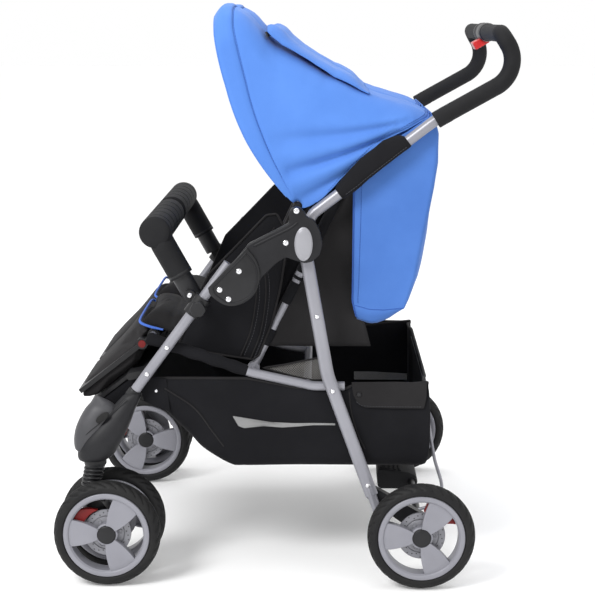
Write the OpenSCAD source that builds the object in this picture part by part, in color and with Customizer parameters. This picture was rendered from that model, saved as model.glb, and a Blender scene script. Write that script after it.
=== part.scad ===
// Side-by-side twin pushchair: folding tube frame, two seats with canopies, sprung double casters.
// The front points along -X, the left side lies at -Y, the ground is z = 0. Side-view points are [x, z].

/* [Overall] */
// Length over the front tyres and the handle grip
overall_length = 795; // [760:1:840]
// Distance between front and rear axles
wheel_base = 540.6; // [520:0.1:560]
// Side-view place of the fold pivot
fold_pivot = [33, 592]; // [0:1:700]

/* [Wheels] */
// Tyre diameter
wheel_d = 185; // [175:1:190]
// Tyre width
tyre_w = 36; // [30:1:40]
// Radial height of the tyre
tyre_h = 18; // [15:1:24]
// Radial thickness of the rim barrel
rim_wall = 11; // [8:1:13]
// Thickness of the spoke disc
spoke_t = 14; // [8:1:20]
// Hub diameter
hub_d = 38; // [34:1:44]
// Half angle of one spoke
spoke_half = 22; // [16:1:30]
// Axle diameter
axle_d = 10; // [8:1:12]
// Place of a caster beside the centre plane
caster_y = 312; // [308:1:316]
// Distance between the two wheels of a caster
pair_pitch = 84; // [80:1:88]
// Place of a rear wheel beside the centre plane
rear_wheel_y = 364; // [362:1:370]

/* [Casters] */
// Distance of the front axle behind the swivel axis
caster_trail = 28; // [20:1:34]
// Swivel stem diameter
stem_d = 12; // [10:1:14]
// Height of the stem's lower end
stem_low = 120; // [116:1:124]
// Top of the yoke
yoke_top = 163; // [160:1:166]
// Width of the yoke between the wheels
yoke_w = 40; // [34:1:42]
// Underside of the stem flange
flange_low = 209.5; // [206:0.5:212]
// Thickness of the stem flange
flange_t = 3; // [2:0.5:4]
// Outer diameter of the coil spring
spring_d = 35; // [32:1:38]
// Wire diameter of the coil spring
spring_wire = 4.6; // [3:0.1:5]
// Number of spring curls
spring_curls = 5; // [4:1:6]
// Diameter of the fork housing
housing_d = 66; // [62:1:70]
// Height of the straight part of the fork housing
housing_h = 46; // [40:1:52]
// Place of the fender's upper end, behind the swivel axis and above the ground
fender_at = [26, 312]; // [20:1:318]
// Diameter of the fender's upper end
fender_d = 34; // [28:1:38]
// Width of the fender
fender_w = 44; // [36:1:50]

/* [Front frame] */
// Front leg diameter
leg_d = 18; // [16:0.5:20]
// Place of the legs beside the centre plane
leg_y = 302; // [300:0.5:304]
// Place where a front leg leaves its housing, behind the swivel axis and above the ground
leg_start = [77, 336]; // [70:1:345]
// Side-view place of the leg's upper end
leg_head = [-95, 555]; // [-150:1:600]
// Depth of the leg in its housing
leg_depth = 45; // [30:1:50]
// Outer diameter of the housing's leg sleeve
sleeve_d = 31; // [28:1:34]
// Side-view centre of the D-shaped cover plate
cover_at = [-86, 531]; // [-120:1:560]
// Radius of the cover plate
cover_r = 46; // [42:1:50]
// Distance of the plate's straight edge from its centre
cover_flat = 20; // [16:1:26]
// Thickness of the cover plate
cover_t = 4; // [3:0.5:5]
// Thickness of the arm link
link_t = 16.5; // [14:0.5:18]
// Half width of the arm link at the cover plate
link_front_r = 24; // [20:1:28]
// Half width of the hinge housing
link_hinge_r = 24; // [20:1:26]
// Half the distance between the hinge housing's two round ends
hinge_rise = 13; // [8:1:16]
// Width of the oval cap
badge_w = 31; // [26:1:34]
// Height of the oval cap
badge_h = 58; // [50:1:62]
// Thickness of the oval cap
badge_t = 2.5; // [2:0.5:4]
// Diameter of the fold pin
fold_pin_d = 14; // [12:0.5:15]
// Side-view place of the upper edge of the front panel
panel_top = [-269, 354]; // [-300:1:380]
// Slant length of the front panel
panel_l = 92; // [80:1:100]
// Thickness of the front panel
panel_t = 6; // [4:0.5:8]
// Gap between the front panel and the fork housings
panel_clear = 11; // [7:1:24]

/* [Seat frame] */
// Diameter of the side rails
rail_d = 16; // [14:0.5:18]
// Diameter of the cross tubes and the centre tubes
cross_d = 14; // [12:0.5:15]
// Side-view place of the footrest hinge
foot_pivot = [-232, 419]; // [-260:1:440]
// Side-view place of the recline pivot
back_pivot = [-56, 360]; // [-80:1:380]
// Side-view place where the rails turn level
rail_knee = [50, 337]; // [20:1:345]
// Length of the level rear end of the rails
rail_tail = 54; // [40:1:60]
// Radius of the rail bends
rail_bend = 60; // [40:1:80]
// Diameter of the recline pins
recline_pin_d = 8; // [6:0.5:9]

/* [Seats] */
// Distance of the seats from the centre plane
seat_in = 14; // [12:1:18]
// Outer edge of the seats
seat_out = 250; // [240:1:251]
// Length of a seat cushion
cushion_l = 178; // [165:1:182]
// Thickness of a seat cushion
cushion_t = 32; // [26:1:36]
// Overhang of the cushion in front of the footrest hinge
cushion_nose = 30; // [20:1:34]
// Height of the cushion above the rail axis
cushion_lift = 12; // [11:0.5:14]
// Backrest angle above the horizontal
back_angle = 64; // [60:1:68]
// Length of the backrest frame
back_l = 372; // [350:1:380]
// Diameter of the backrest tube
back_d = 14; // [12:0.5:16]
// Corner radius of the backrest frame
back_bend = 50; // [40:1:60]
// Length of the backrest pad
back_pad_l = 322; // [300:1:330]
// Thickness of the backrest pad
back_pad_t = 34; // [26:1:38]
// Thickness of the side wings
wing_t = 3; // [2:0.5:3]

/* [Footrests] */
// Footrest angle below the horizontal
foot_angle = 38; // [30:1:45]
// Length of the footrest
foot_l = 166; // [150:1:172]
// Thickness of the footrest board
foot_t = 8; // [6:0.5:10]
// Outer diameter of the hinge sleeves
foot_sleeve_d = 20; // [19:0.5:21]
// Length of a hinge sleeve
foot_sleeve_l = 22; // [18:1:30]
// Length of the footrest pad
foot_pad_l = 106; // [95:1:108]
// Thickness of the footrest pad
foot_pad_t = 22; // [16:1:24]
// Diameter of the footrest button
foot_button_d = 13; // [10:1:14]
// Distance of the footrest button from the hinge
foot_button_at = 25; // [22:1:30]
// Stroke of the footrest button
foot_button_stroke = 4; // [3:0.5:5]

/* [Rear frame] */
// Wide side of the flattened rear leg
rear_leg_w = 23; // [20:0.5:25]
// Narrow side of the flattened rear leg
rear_leg_t = 15.4; // [13:0.2:16]
// Side-view place of the rear leg's bend
rear_knee = [74, 360]; // [60:1:380]
// Side-view place of the rear leg's lower end
rear_end = [152, 146]; // [140:1:170]
// Radius of the rear leg's bend
rear_bend = 150; // [100:1:200]
// Thickness of the axle bracket
bracket_t = 19; // [14:1:20]
// Diameter of the rear axle tube
rear_axle_d = 14; // [12:0.5:16]
// Diameter of the basket hoop
hoop_d = 6; // [5:0.5:8]
// Half width of the basket hoop
hoop_half = 240; // [220:1:250]
// Side-view place of the hoop's rear bend
hoop_knee = [267, 188]; // [180:1:280]
// Side-view place of the hoop's cross piece
hoop_top = [250, 324]; // [240:1:330]

/* [Brake] */
// Width of the brake pedal
pedal_w = 84; // [70:1:100]
// Distance of the pedal's round tip in front of the axle
pedal_l = 46; // [40:1:52]
// Rise of the pedal's tip above the axle
pedal_rise = 4; // [2:0.5:8]
// Height of the brake pedal at its tip
pedal_t = 38; // [32:1:40]
// Diameter of the pedal sleeve
pedal_d = 30; // [26:1:34]

/* [Handle] */
// Handle tube diameter
handle_d = 19; // [17:0.5:20]
// Place of the handle arms beside the centre plane
handle_y = 280; // [279:0.5:281]
// Foam grip diameter
foam_d = 29; // [26:0.5:30]
// Side-view place of the handle's lower elbow
handle_elbow = [46, 636]; // [40:1:650]
// Place where the grip starts, in front of the rear end and below the cross piece
grip_back = [142.5, 144.5]; // [130:0.5:150]
// Slope of the grip
grip_slope = 30; // [26:1:34]
// Radius of the handle's upward bend
handle_bend = 50; // [44:1:54]
// Lean of the handle's upper end behind the vertical
handle_lean = 31; // [26:1:36]
// Height of the handle's cross piece
handle_height = 941.5; // [935:0.5:948]
// Radius of the handle's corners
handle_corner = 20; // [16:1:21]
// Radius of the elbow above the fold pivot
elbow_bend = 30; // [25:1:34]
// Diameter of the fabric sleeve at its ends
wrap_d = 25; // [22:0.5:25]
// Height of the fabric sleeve at its middle
wrap_mid_d = 38; // [38:1:42]
// Rise of the sleeve's middle above the tube
wrap_rise = 8; // [4:0.5:8]
// Share of the arm's straight run under the fabric sleeve
wrap_share = 0.67; // [0.55:0.01:0.7]
// Share of the straight run below the fabric sleeve
wrap_start_share = 0.125; // [0.11:0.005:0.2]
// Diameter of the release housing
release_d = 40; // [36:1:42]
// Width of the release housing
release_w = 116; // [100:1:130]
// Width of the release button
button_w = 46; // [36:1:60]
// Length of the release button
button_l = 24; // [20:1:26]
// Stroke of the release button
button_stroke = 4; // [3:0.5:5]

/* [Bumper bar] */
// Side-view place of the bumper socket
socket_at = [-162, 499]; // [-180:1:520]
// Side-view place of the bumper's corner
bumper_at = [-222, 606]; // [-240:1:620]
// Place of the bumper arms beside the centre plane
bumper_y = 274; // [270:1:276]
// Diameter of the padded bumper bar
bumper_d = 43; // [38:1:46]
// Diameter of the thick grips
bumper_grip_d = 54; // [50:1:58]
// Length of one thick grip
bumper_grip_l = 196; // [170:1:205]
// Radius of the bumper's corners
bumper_corner = 34; // [30:1:40]
// Gap between the thick grips
bumper_gap = 34; // [20:1:50]
// Diameter of the bumper's socket pins
bumper_pin_d = 22; // [18:1:24]
// Length of the bumper's socket pins
bumper_pin_l = 34; // [28:1:38]
// Wall of the clamps
clamp_wall = 6; // [5:0.5:7]

/* [Canopy] */
// Side-view place of the canopy pivot
canopy_pivot = [21, 648]; // [10:1:660]
// Reach of the canopy from its pivot to the top of the front hem
canopy_reach = 364; // [350:1:370]
// Angle of the canopy's front edge at the top
canopy_front_angle = 114; // [112:1:120]
// Angle of the canopy's rear edge
canopy_rear_angle = 34; // [30:1:38]
// Corner radius between roof and sides
canopy_round = 58; // [45:1:65]
// Thickness of the canopy
canopy_t = 2.4; // [2:0.2:3]
// Radius left free around the pivot
canopy_hub = 18; // [16:1:22]
// Diameter of the front bow
bow_d = 7; // [5:0.5:8]
// Radius of the bow's corners
bow_bend = 52; // [40:1:60]
// Diameter of the canopy pins
canopy_pin_d = 6; // [5:0.5:7]

/* [Rear drape] */
// Distance of the drape's upper front corner from the canopy pivot
drape_start = 113; // [112:1:130]
// Side-view place of the drape's lower front corner
drape_low = [118, 479]; // [105:1:500]
// Side-view place of the drape's lower rear corner
drape_low_tail = [207, 471]; // [190:1:500]
// Thickness of the drape
drape_t = 3; // [2:0.5:4]
// Depth of the drape's folds
drape_fold = 7; // [3:1:9]
// Sag of the drape's lower edge along the sides
drape_sag = 24; // [0:1:28]
// Swell of the drape at the back
drape_swell = 22; // [0:1:24]
// Tuck of the drape's lower edge under its hem seam
drape_tuck = 9; // [0:1:12]

/* [Basket] */
// Height of the basket's floor
basket_low = 197; // [190:1:210]
// Height of the rear pocket's rim
pocket_rim = 348; // [335:1:352]
// Front end of the basket
basket_front = -165; // [-180:1:-150]
// Front end of the rear pocket
pocket_front = 114; // [112:1:130]
// Wall of the basket
basket_wall = 4; // [3:0.5:6]

/* [Hidden] */

// Facets of round shapes, all true circles
$fn = 48;
// Length by which a cut runs past its surface
overrun = 2;
// Radial play of a running fit
fit = 0.1;
// Gap between pieces that stay clear of each other
gap = 0.3;
// Gap between neighbouring layers of the folding frame
layer_gap = 0.5;
// Gap between the canopy and the handle grips
canopy_clear = 3.3;
// Free height under the swivel stem for the suspension stroke
suspension_room = 14;

silver = "#a4a4ac";
black = "#2d2d30";
cloth_black = "#232326";
blue = "#548eec";
red = "#e11e23";
rubber = "#28282a";

front_axle_x = -overall_length / 2 + wheel_d / 2;
rear_axle_x = front_axle_x + wheel_base;
axle_z = wheel_d / 2;
stem_x = front_axle_x - caster_trail;
leg_foot = [stem_x + leg_start[0], leg_start[1]];
rim_r = wheel_d / 2 - tyre_h;
link_in = leg_y + leg_d / 2 + layer_gap;
link_out = link_in + link_t;
rail_y = leg_y - leg_d / 2 - rail_d / 2 - gap;
leg_dir = (leg_head - leg_foot) / norm(leg_head - leg_foot);
panel_dir = [-cos(foot_angle), -sin(foot_angle)];
canopy_out = handle_y - foam_d / 2 - canopy_clear;
canopy_w = canopy_out - seat_in;
bracket_in = canopy_out + gap;
bracket_out = handle_y - foam_d / 2 + layer_gap;
bumper_dir = (bumper_at - socket_at) / norm(bumper_at - socket_at);
seat_w = seat_out - seat_in;
seat_mid = (seat_out + seat_in) / 2;
housing_low = flange_low + flange_t + gap;
panel_half = caster_y - housing_d / 2 - panel_clear;
rail_dir = (back_pivot - foot_pivot) / norm(back_pivot - foot_pivot);
grip_start = [overall_length / 2 - grip_back[0], handle_height - grip_back[1]];
grip_bend = 6 * foam_d;
bow_inset = 2 * canopy_t + bow_d / 2;
pin_reach = 3 * canopy_t + bow_d;

// The basket hangs under the rails and in front of the hoop
basket_half = rail_y + basket_wall / 2;
basket_rim = rail_knee[1] - rail_d / 2 - gap;
basket_rear = hoop_top[0] - hoop_d / 2 - gap;

// The drape is sewn to the rear edge of the canopy
roof_shares = [[0, 0.967], [0.025, 0.985], [0.05, 0.9885], [0.085, 0.953], [0.13, 0.892], [0.19, 0.81],
  [0.26, 0.765], [0.36, 0.71], [0.47, 0.68], [0.58, 0.672], [0.7, 0.657], [0.84, 0.687], [1, 0.758]];
rear_edge = [cos(canopy_rear_angle), sin(canopy_rear_angle)];
seam_drop = [sin(canopy_rear_angle), -cos(canopy_rear_angle)] * gap;
drape_top = canopy_pivot + rear_edge * drape_start + seam_drop;
drape_tail = canopy_pivot + rear_edge * canopy_reach * roof_shares[len(roof_shares) - 1][1] + seam_drop;

// Vectors and placing

function unit(v) = v / norm(v);
function at(p, y) = [p[0], y, p[1]];
function side(a, b, t) = a + (b - a) * t;
function leg_point(z) = leg_foot + leg_dir * (z - leg_foot[1]) / leg_dir[1];

// Lays the local axes x, y, z at a point
module place(o, x, y, z) {
  multmatrix([[x[0], y[0], z[0], o[0]], [x[1], y[1], z[1], o[1]], [x[2], y[2], z[2], o[2]], [0, 0, 0, 1]])
    children();
}

// Lays local x along a side-view direction, z to its left and y across
module lay(p, y, dir) {
  place(at(p, y), [dir[0], 0, dir[1]], [0, 1, 0], [-dir[1], 0, dir[0]])
    children();
}

module both() {
  children();
  mirror([0, 1, 0]) children();
}

module on_left() {
  mirror([0, 1, 0]) children();
}

// Round bars and bent tubes

module rod(a, b, d) {
  z = unit(b - a);
  x = unit(cross(abs(z[1]) < 0.9 ? [0, 1, 0] : [1, 0, 0], z));
  place(a, x, cross(z, x), z) cylinder(h = norm(b - a), d = d);
}

module across(p, y0, y1, d) {
  rod(at(p, y0), at(p, y1), d);
}

function turn(p, i) = acos(unit(p[i] - p[i - 1]) * unit(p[i + 1] - p[i]));
function trim(p, r, i) = (i == 0 || i == len(p) - 1) ? 0 : r[i - 1] * tan(turn(p, i) / 2);

module elbow(p, q, s, r, d) {
  u = unit(q - p);
  v = unit(s - q);
  a = acos(u * v);
  n = unit(v - u * cos(a));
  place(q - u * r * tan(a / 2) + n * r, -n, u, cross(u, n))
    rotate_extrude(angle = a) translate([r, 0]) circle(d = d);
}

// A short swaged ring at each end of a bend joins the bend to its straight runs
ring_l = 1.5;
ring_rise = 0.15;

module ring(p, u, d) {
  rod(p - u * ring_l, p + u * ring_l, d + 2 * ring_rise);
}

module pipe(p, r, d) {
  for (i = [0 : len(p) - 2]) {
    u = unit(p[i + 1] - p[i]);
    start = p[i] + u * trim(p, r, i);
    end = p[i + 1] - u * trim(p, r, i + 1);
    rod(start, end, d);
    if (i > 0) ring(start, u, d);
    if (i < len(p) - 2) ring(end, u, d);
  }
  for (i = [1 : len(p) - 2]) elbow(p[i - 1], p[i], p[i + 1], r[i - 1], d);
}

// A bar between two round ends in the side view, as thick as y1 - y0

module bar(a, ra, b, rb, y0, y1) {
  n = [-(b - a)[1], (b - a)[0]] / norm(b - a);
  translate([0, y1, 0]) rotate([90, 0, 0]) linear_extrude(y1 - y0) {
    translate(a) circle(ra);
    translate(b) circle(rb);
    polygon([a + n * ra, b + n * rb, b - n * rb, a - n * ra]);
  }
}

// Soft forms: a closed sheet between two grids of points

function strip(a, b, c, d) = [[a, b, c], [a, c, d]];

module sheet(top, low, nu, nv) {
  n = (nu + 1) * (nv + 1);
  k = nv + 1;
  skin = [for (i = [0 : nu - 1], j = [0 : nv - 1], t = [0, 1])
    let (a = i * k + j, b = a + 1, c = a + k, d = c + 1)
    each t == 0 ? strip(a, b, d, c) : strip(n + a, n + c, n + d, n + b)];
  ends = [for (j = [0 : nv - 1], e = [0, nu])
    let (a = e * k + j, b = a + 1)
    each e == 0 ? strip(b, a, n + a, n + b) : strip(a, b, n + b, n + a)];
  sides = [for (i = [0 : nu - 1], e = [0, nv])
    let (a = i * k + e, c = a + k)
    each e == 0 ? strip(a, c, n + c, n + a) : strip(c, a, n + a, n + c)];
  polyhedron(concat(top, low), concat(skin, ends, sides), convexity = 6);
}

// Cushion with a crown, drawn-in sides and cross channels, lying on its flat underside

cushion_steps = 12;
cushion_edge_share = 0.3;
draw_share = 0.035;
channel_half_share = 0.07;
channel_depth_share = 0.16;

function bulge(u, v) = sqrt((1 - pow(u, 4)) * (1 - pow(v, 4)));
function channel(u, list) = max([for (c = list) exp(-pow((u - c) / channel_half_share, 2))]);
function drawn(u, v) = u * (1 - draw_share * (1 - v * v) * abs(u));

module cushion(l, w, t, channels) {
  n = cushion_steps;
  grid = [for (i = [0 : n], j = [0 : n]) [2 * i / n - 1, 2 * j / n - 1]];
  function flat(g) = [drawn(g[0], g[1]) * l / 2, drawn(g[1], g[0]) * w / 2, 0];
  function rise(g) = t * (cushion_edge_share + (1 - cushion_edge_share) * bulge(g[0], g[1])
    - channel_depth_share * channel(g[0], channels) * bulge(g[0], g[1]));
  sheet([for (g = grid) flat(g) + [0, 0, rise(g)]], [for (g = grid) flat(g)], n, n);
}

// Front frame

module front_legs() {
  color(silver) both() rod(at(leg_foot - leg_dir * leg_depth, leg_y), at(leg_head, leg_y), leg_d);
}

sleeve_root_share = 2.4;

module fork_housings() {
  color(black) both() difference() {
    union() {
      translate([stem_x, caster_y, housing_low]) cylinder(h = housing_h, d = housing_d);
      translate([stem_x, caster_y, housing_low + housing_h]) sphere(d = housing_d);
      rod(at(leg_foot - leg_dir * sleeve_root_share * leg_depth, leg_y), at(leg_foot, leg_y), sleeve_d);
      bar([stem_x, housing_low + housing_h], housing_d / 2, fender_at + [stem_x, 0], fender_d / 2,
        caster_y - fender_w / 2, caster_y + fender_w / 2);
    }
    translate([stem_x, caster_y, housing_low - overrun])
      cylinder(h = housing_h + housing_d / 3 + overrun, d = stem_d + 2 * fit);
    rod(at(leg_foot - leg_dir * leg_depth, leg_y), at(leg_foot + leg_dir * leg_depth, leg_y),
      leg_d + 2 * fit);
  }
}

module front_panel() {
  ear = leg_point(panel_top[1] + panel_t);
  color(black) {
    lay(panel_top, -panel_half, panel_dir)
      translate([0, 0, -panel_t / 2]) cube([panel_l, 2 * panel_half, panel_t]);
    both() bar(panel_top, panel_t, ear, panel_t, panel_half - leg_d, leg_y - leg_d / 2 - gap);
  }
}

module arm_links() {
  hinge_up = fold_pivot + [0, hinge_rise];
  hinge_down = fold_pivot - [0, hinge_rise];
  color(black) both() {
    bar(cover_at, link_front_r, fold_pivot, link_hinge_r, link_in, link_out);
    bar(hinge_down, link_hinge_r, hinge_up, link_hinge_r, link_in, link_out);
    bar(fold_pivot, link_hinge_r / 2, canopy_pivot, link_hinge_r / 2, link_in, link_out);
    across(fold_pivot, bracket_in, link_in, fold_pin_d);
  }
}

cover_turn = 48;

module cover_plates() {
  edge = [-sin(cover_turn), cos(cover_turn)];
  color(black) both() difference() {
    across(cover_at, link_out, link_out + cover_t, 2 * cover_r);
    lay(cover_at + edge * cover_flat, link_out - overrun, edge)
      translate([0, 0, -cover_r]) cube([cover_r, cover_t + 2 * overrun, 2 * cover_r]);
  }
}

module hinge_caps() {
  color(silver) both() translate([fold_pivot[0], link_out + badge_t, fold_pivot[1]]) rotate([90, 0, 0])
    linear_extrude(badge_t) polygon([for (a = [0 : 7.5 : 359]) [badge_w / 2 * cos(a), badge_h / 2 * sin(a)]]);
}

rivet_d = 11;
rivet_h = 2.5;
link_rivet_share = 0.75;
cover_rivet_shares = [[0.22, 0.33], [-0.5, -0.37], [-0.17, -0.72]];

module rivet(p, y) {
  across(p, y, y + rivet_h, rivet_d);
}

module frame_rivets() {
  color(silver) both() {
    for (s = cover_rivet_shares) rivet(cover_at + s * cover_r, link_out + cover_t);
    rivet(canopy_pivot, link_out);
    rivet(side(cover_at, fold_pivot, link_rivet_share), link_out);
  }
}

module canopy_brackets() {
  color(black) both() difference() {
    union() {
      bar(fold_pivot, fold_pin_d, canopy_pivot, canopy_pin_d + gap, bracket_in, bracket_out);
      across(canopy_pivot, canopy_out - pin_reach, bracket_in, canopy_pin_d);
    }
    across(fold_pivot, bracket_in - overrun, bracket_out + overrun, fold_pin_d + 2 * fit);
  }
}

// Seat frame: rails, cross tubes, centre tube and centre post as one welded frame

rail_end = rail_knee + [rail_tail, 0];
post_foot_share = 0.62;
rear_cross_share = 0.9;

module seat_frame() {
  rear_cross = side(back_pivot, rail_knee, rear_cross_share);
  post_foot = side(back_pivot, rail_knee, post_foot_share);
  rail = [foot_pivot, back_pivot, rail_knee, rail_end];
  color(silver) {
    both() {
      pipe([for (p = rail) at(p, rail_y)], [rail_bend, rail_bend], rail_d);
      across(back_pivot, seat_out - back_d - 2 * gap, rail_y, recline_pin_d);
    }
    across(foot_pivot, -rail_y, rail_y, cross_d);
    across(rear_cross, -rail_y, rail_y, cross_d);
    pipe([at(foot_pivot, 0), at(back_pivot, 0), at(rear_cross, 0)], [rail_bend], cross_d);
    across(back_pivot, -seat_in - back_d - 5 * gap, seat_in + back_d + 5 * gap, recline_pin_d);
    rod(at(post_foot, 0), at(canopy_pivot, 0), cross_d);
    across(canopy_pivot, -seat_in - pin_reach, seat_in + pin_reach, canopy_pin_d);
  }
}

module seat_cushion() {
  color(cloth_black) lay(foot_pivot, seat_mid, rail_dir)
    translate([cushion_l / 2 - cushion_nose, 0, cushion_lift])
      cushion(cushion_l, seat_w, cushion_t, [-0.4, 0.2]);
}

module seat_cushion_left() { on_left() seat_cushion(); }
module seat_cushion_right() { seat_cushion(); }

wing_shares = [[0.17, 0.115], [0.309, 0.528], [0.374, 0.704], [0.562, 0.94], [0.755, 1.185], [0.823, 1.194],
  [0.868, 1.093], [0.9, 0.95], [1, 0.6], [0.97, 0.14], [0.62, 0.06]];

module side_wings() {
  low = back_pivot + [0, rail_d];
  reach = fold_pivot - [foot_pivot[0], low[1]];
  color(cloth_black) both()
    translate([foot_pivot[0], seat_out + wing_t + layer_gap, low[1]]) rotate([90, 0, 0])
      linear_extrude(wing_t) polygon([for (s = wing_shares) [s[0] * reach[0], s[1] * reach[1]]]);
}

// Basket with a slanted front, a floor and a deep rear pocket

basket_slant_share = 0.2;
basket_lip_share = 0.04;
basket_step_share = 0.32;

module basket_side(w) {
  run = basket_rear - basket_front;
  drop = basket_rim - basket_low;
  polygon([
    [basket_front + w, basket_rim + (w > 0 ? overrun : 0)],
    [basket_front + run * basket_lip_share + w, basket_low + drop * basket_step_share + w / 2],
    [basket_front + run * basket_slant_share + w / 2, basket_low + w],
    [basket_rear - w, basket_low + w],
    [basket_rear - w, pocket_rim + (w > 0 ? overrun : 0)],
    [pocket_front + (w > 0 ? -overrun : 0), pocket_rim + (w > 0 ? overrun : 0)],
    [pocket_front + (w > 0 ? -overrun : 0), basket_rim + (w > 0 ? overrun : 0)]
  ]);
}

module basket() {
  inner_half = basket_half - basket_wall;
  color(cloth_black) difference() {
    translate([0, basket_half, 0]) rotate([90, 0, 0]) linear_extrude(2 * basket_half) basket_side(0);
    translate([0, inner_half, 0]) rotate([90, 0, 0]) linear_extrude(2 * inner_half) basket_side(basket_wall);
  }
}

// Bumper bar and its clamps

module bumper_clamps() {
  grip_at = leg_point(socket_at[1] - leg_d);
  clamp_d = leg_d + 2 * clamp_wall;
  socket_d = bumper_pin_d + 2 * clamp_wall;
  socket_low = socket_at - bumper_dir * clamp_wall;
  socket_high = socket_at + bumper_dir * bumper_pin_l;
  color(black) both() difference() {
    union() {
      rod(at(grip_at - leg_dir * leg_d, leg_y), at(grip_at + leg_dir * leg_d, leg_y), clamp_d);
      rod(at(socket_low, bumper_y), at(socket_high, bumper_y), socket_d);
      bar(grip_at, leg_d / 2, socket_at, leg_d / 2, bumper_y, leg_y);
      across(grip_at, leg_y, leg_y + clamp_d / 2 + rivet_h, leg_d);
    }
    rod(at(grip_at - leg_dir * clamp_d, leg_y), at(grip_at + leg_dir * clamp_d, leg_y), leg_d + 2 * fit);
    rod(at(socket_at, bumper_y), at(socket_high + bumper_dir * overrun, bumper_y), bumper_pin_d + 2 * fit);
  }
}

module bumper_bar() {
  low = socket_at + bumper_dir * (bumper_pin_l + gap);
  path = [at(low, -bumper_y), at(bumper_at, -bumper_y), at(bumper_at, bumper_y), at(low, bumper_y)];
  color(black) {
    pipe(path, [bumper_corner, bumper_corner], bumper_d);
    both() rod(at(socket_at + bumper_dir * gap, bumper_y), at(low, bumper_y), bumper_pin_d);
  }
}

module bumper_grips() {
  color(black) both() difference() {
    across(bumper_at, bumper_gap / 2, bumper_gap / 2 + bumper_grip_l, bumper_grip_d);
    across(bumper_at, 0, bumper_y, bumper_d + 2 * fit);
  }
}

// Rear frame

module rear_oval(w, t) {
  square([w - t, t], center = true);
  for (s = [-1, 1]) translate([s * (w - t) / 2, 0]) circle(d = t);
}

module rear_run(a, b, more) {
  u = unit(b - a);
  place(at(a, leg_y), [u[1], 0, -u[0]], [0, 1, 0], [u[0], 0, u[1]])
    linear_extrude(norm(b - a)) rear_oval(rear_leg_w + more, rear_leg_t + more);
}

module rear_legs() {
  u = unit(rear_knee - fold_pivot);
  v = unit(rear_end - rear_knee);
  a = acos(u * v);
  n = unit(v - u * cos(a));
  cut = rear_bend * tan(a / 2);
  knee_in = rear_knee - u * cut;
  knee_out = rear_knee + v * cut;
  hub = knee_in + n * rear_bend;
  color(silver) both() difference() {
    union() {
      across(fold_pivot, leg_y - rear_leg_t / 2, leg_y + rear_leg_t / 2, rear_leg_w + fold_pin_d / 2);
      rear_run(fold_pivot, knee_in, 0);
      rear_run(knee_in - u * ring_l, knee_in + u * ring_l, 2 * ring_rise);
      place(at(hub, leg_y), [-n[0], 0, -n[1]], [u[0], 0, u[1]], cross([u[0], 0, u[1]], [n[0], 0, n[1]]))
        rotate_extrude(angle = a) translate([rear_bend, 0]) rear_oval(rear_leg_w, rear_leg_t);
      rear_run(knee_out - v * ring_l, knee_out + v * ring_l, 2 * ring_rise);
      rear_run(knee_out, rear_end, 0);
    }
    across(fold_pivot, leg_y - rear_leg_w, leg_y + rear_leg_w, fold_pin_d + 2 * fit);
  }
}

rear_axle_at = [rear_axle_x, axle_z];
hub_face = rear_wheel_y - tyre_w / 2 - gap;

module rear_axle() {
  color(silver) {
    across(rear_axle_at, -hub_face, hub_face, rear_axle_d);
    both() across(rear_axle_at, hub_face, rear_wheel_y + tyre_w / 2 - overrun, axle_d);
  }
}

module axle_brackets() {
  outer = leg_y - rear_leg_t / 2 - gap;
  color(black) both() difference() {
    union() {
      bar(rear_end, rear_leg_w / 2, rear_axle_at, rear_leg_w / 2 + clamp_wall, outer - bracket_t, outer);
      across(rear_axle_at, outer, hub_face, rear_leg_w + clamp_wall);
    }
    across(rear_axle_at, outer - bracket_t - overrun, hub_face + overrun, rear_axle_d + 2 * fit);
  }
}

module basket_hoop() {
  foot = rear_axle_at + unit(hoop_knee - rear_axle_at) * (rear_axle_d / 2 + gap / 2);
  path = [at(foot, -hoop_half), at(hoop_knee, -hoop_half), at(hoop_top, -hoop_half),
    at(hoop_top, hoop_half), at(hoop_knee, hoop_half), at(foot, hoop_half)];
  color(silver) pipe(path, [hoop_d * 5, hoop_d * 3, hoop_d * 3, hoop_d * 5], hoop_d);
}

module brake_pedal() {
  tip = rear_axle_at + [-pedal_l, pedal_rise];
  color(black) difference() {
    union() {
      across(rear_axle_at, -pedal_w / 2, pedal_w / 2, pedal_d);
      bar(rear_axle_at, pedal_d / 2, tip, pedal_t / 2, -pedal_w / 2, pedal_w / 2);
    }
    across(rear_axle_at, -pedal_w, pedal_w, rear_axle_d + 2 * fit);
  }
}

// Push handle

upright = 90;
bend_at = [overall_length / 2 - foam_d / 2 - handle_bend, handle_height - handle_bend + handle_corner / 4];
bend_span = upright - grip_slope + handle_lean;
bend_mid = (handle_lean - (upright - grip_slope)) / 2;
bend_tip = bend_at + handle_bend / cos(bend_span / 2) * [cos(bend_mid), sin(bend_mid)];
bend_exit = bend_at + handle_bend * [cos(handle_lean), sin(handle_lean)];
lean_dir = [-sin(handle_lean), cos(handle_lean)];
handle_top = bend_exit + lean_dir * (handle_height - bend_exit[1]) / lean_dir[1];
grip_dir = unit(bend_tip - grip_start);
arm_dir = unit(grip_start - handle_elbow);
handle_radii = [elbow_bend, grip_bend, handle_bend, handle_corner];

function arm(y) = [for (p = [fold_pivot, handle_elbow, grip_start, bend_tip, handle_top]) at(p, y)];

module handle_tube() {
  eye_w = handle_d - 2 * gap;
  right = arm(handle_y);
  path = concat(arm(-handle_y), [for (i = [4 : -1 : 0]) right[i]]);
  r = handle_radii;
  color(silver) difference() {
    union() {
      pipe(path, [r[0], r[1], r[2], r[3], r[3], r[2], r[1], r[0]], handle_d);
      both() across(fold_pivot, handle_y - eye_w / 2, handle_y + eye_w / 2, 2 * handle_d);
    }
    both() across(fold_pivot, handle_y - handle_d, handle_y + handle_d, fold_pin_d + 2 * fit);
  }
}

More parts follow.
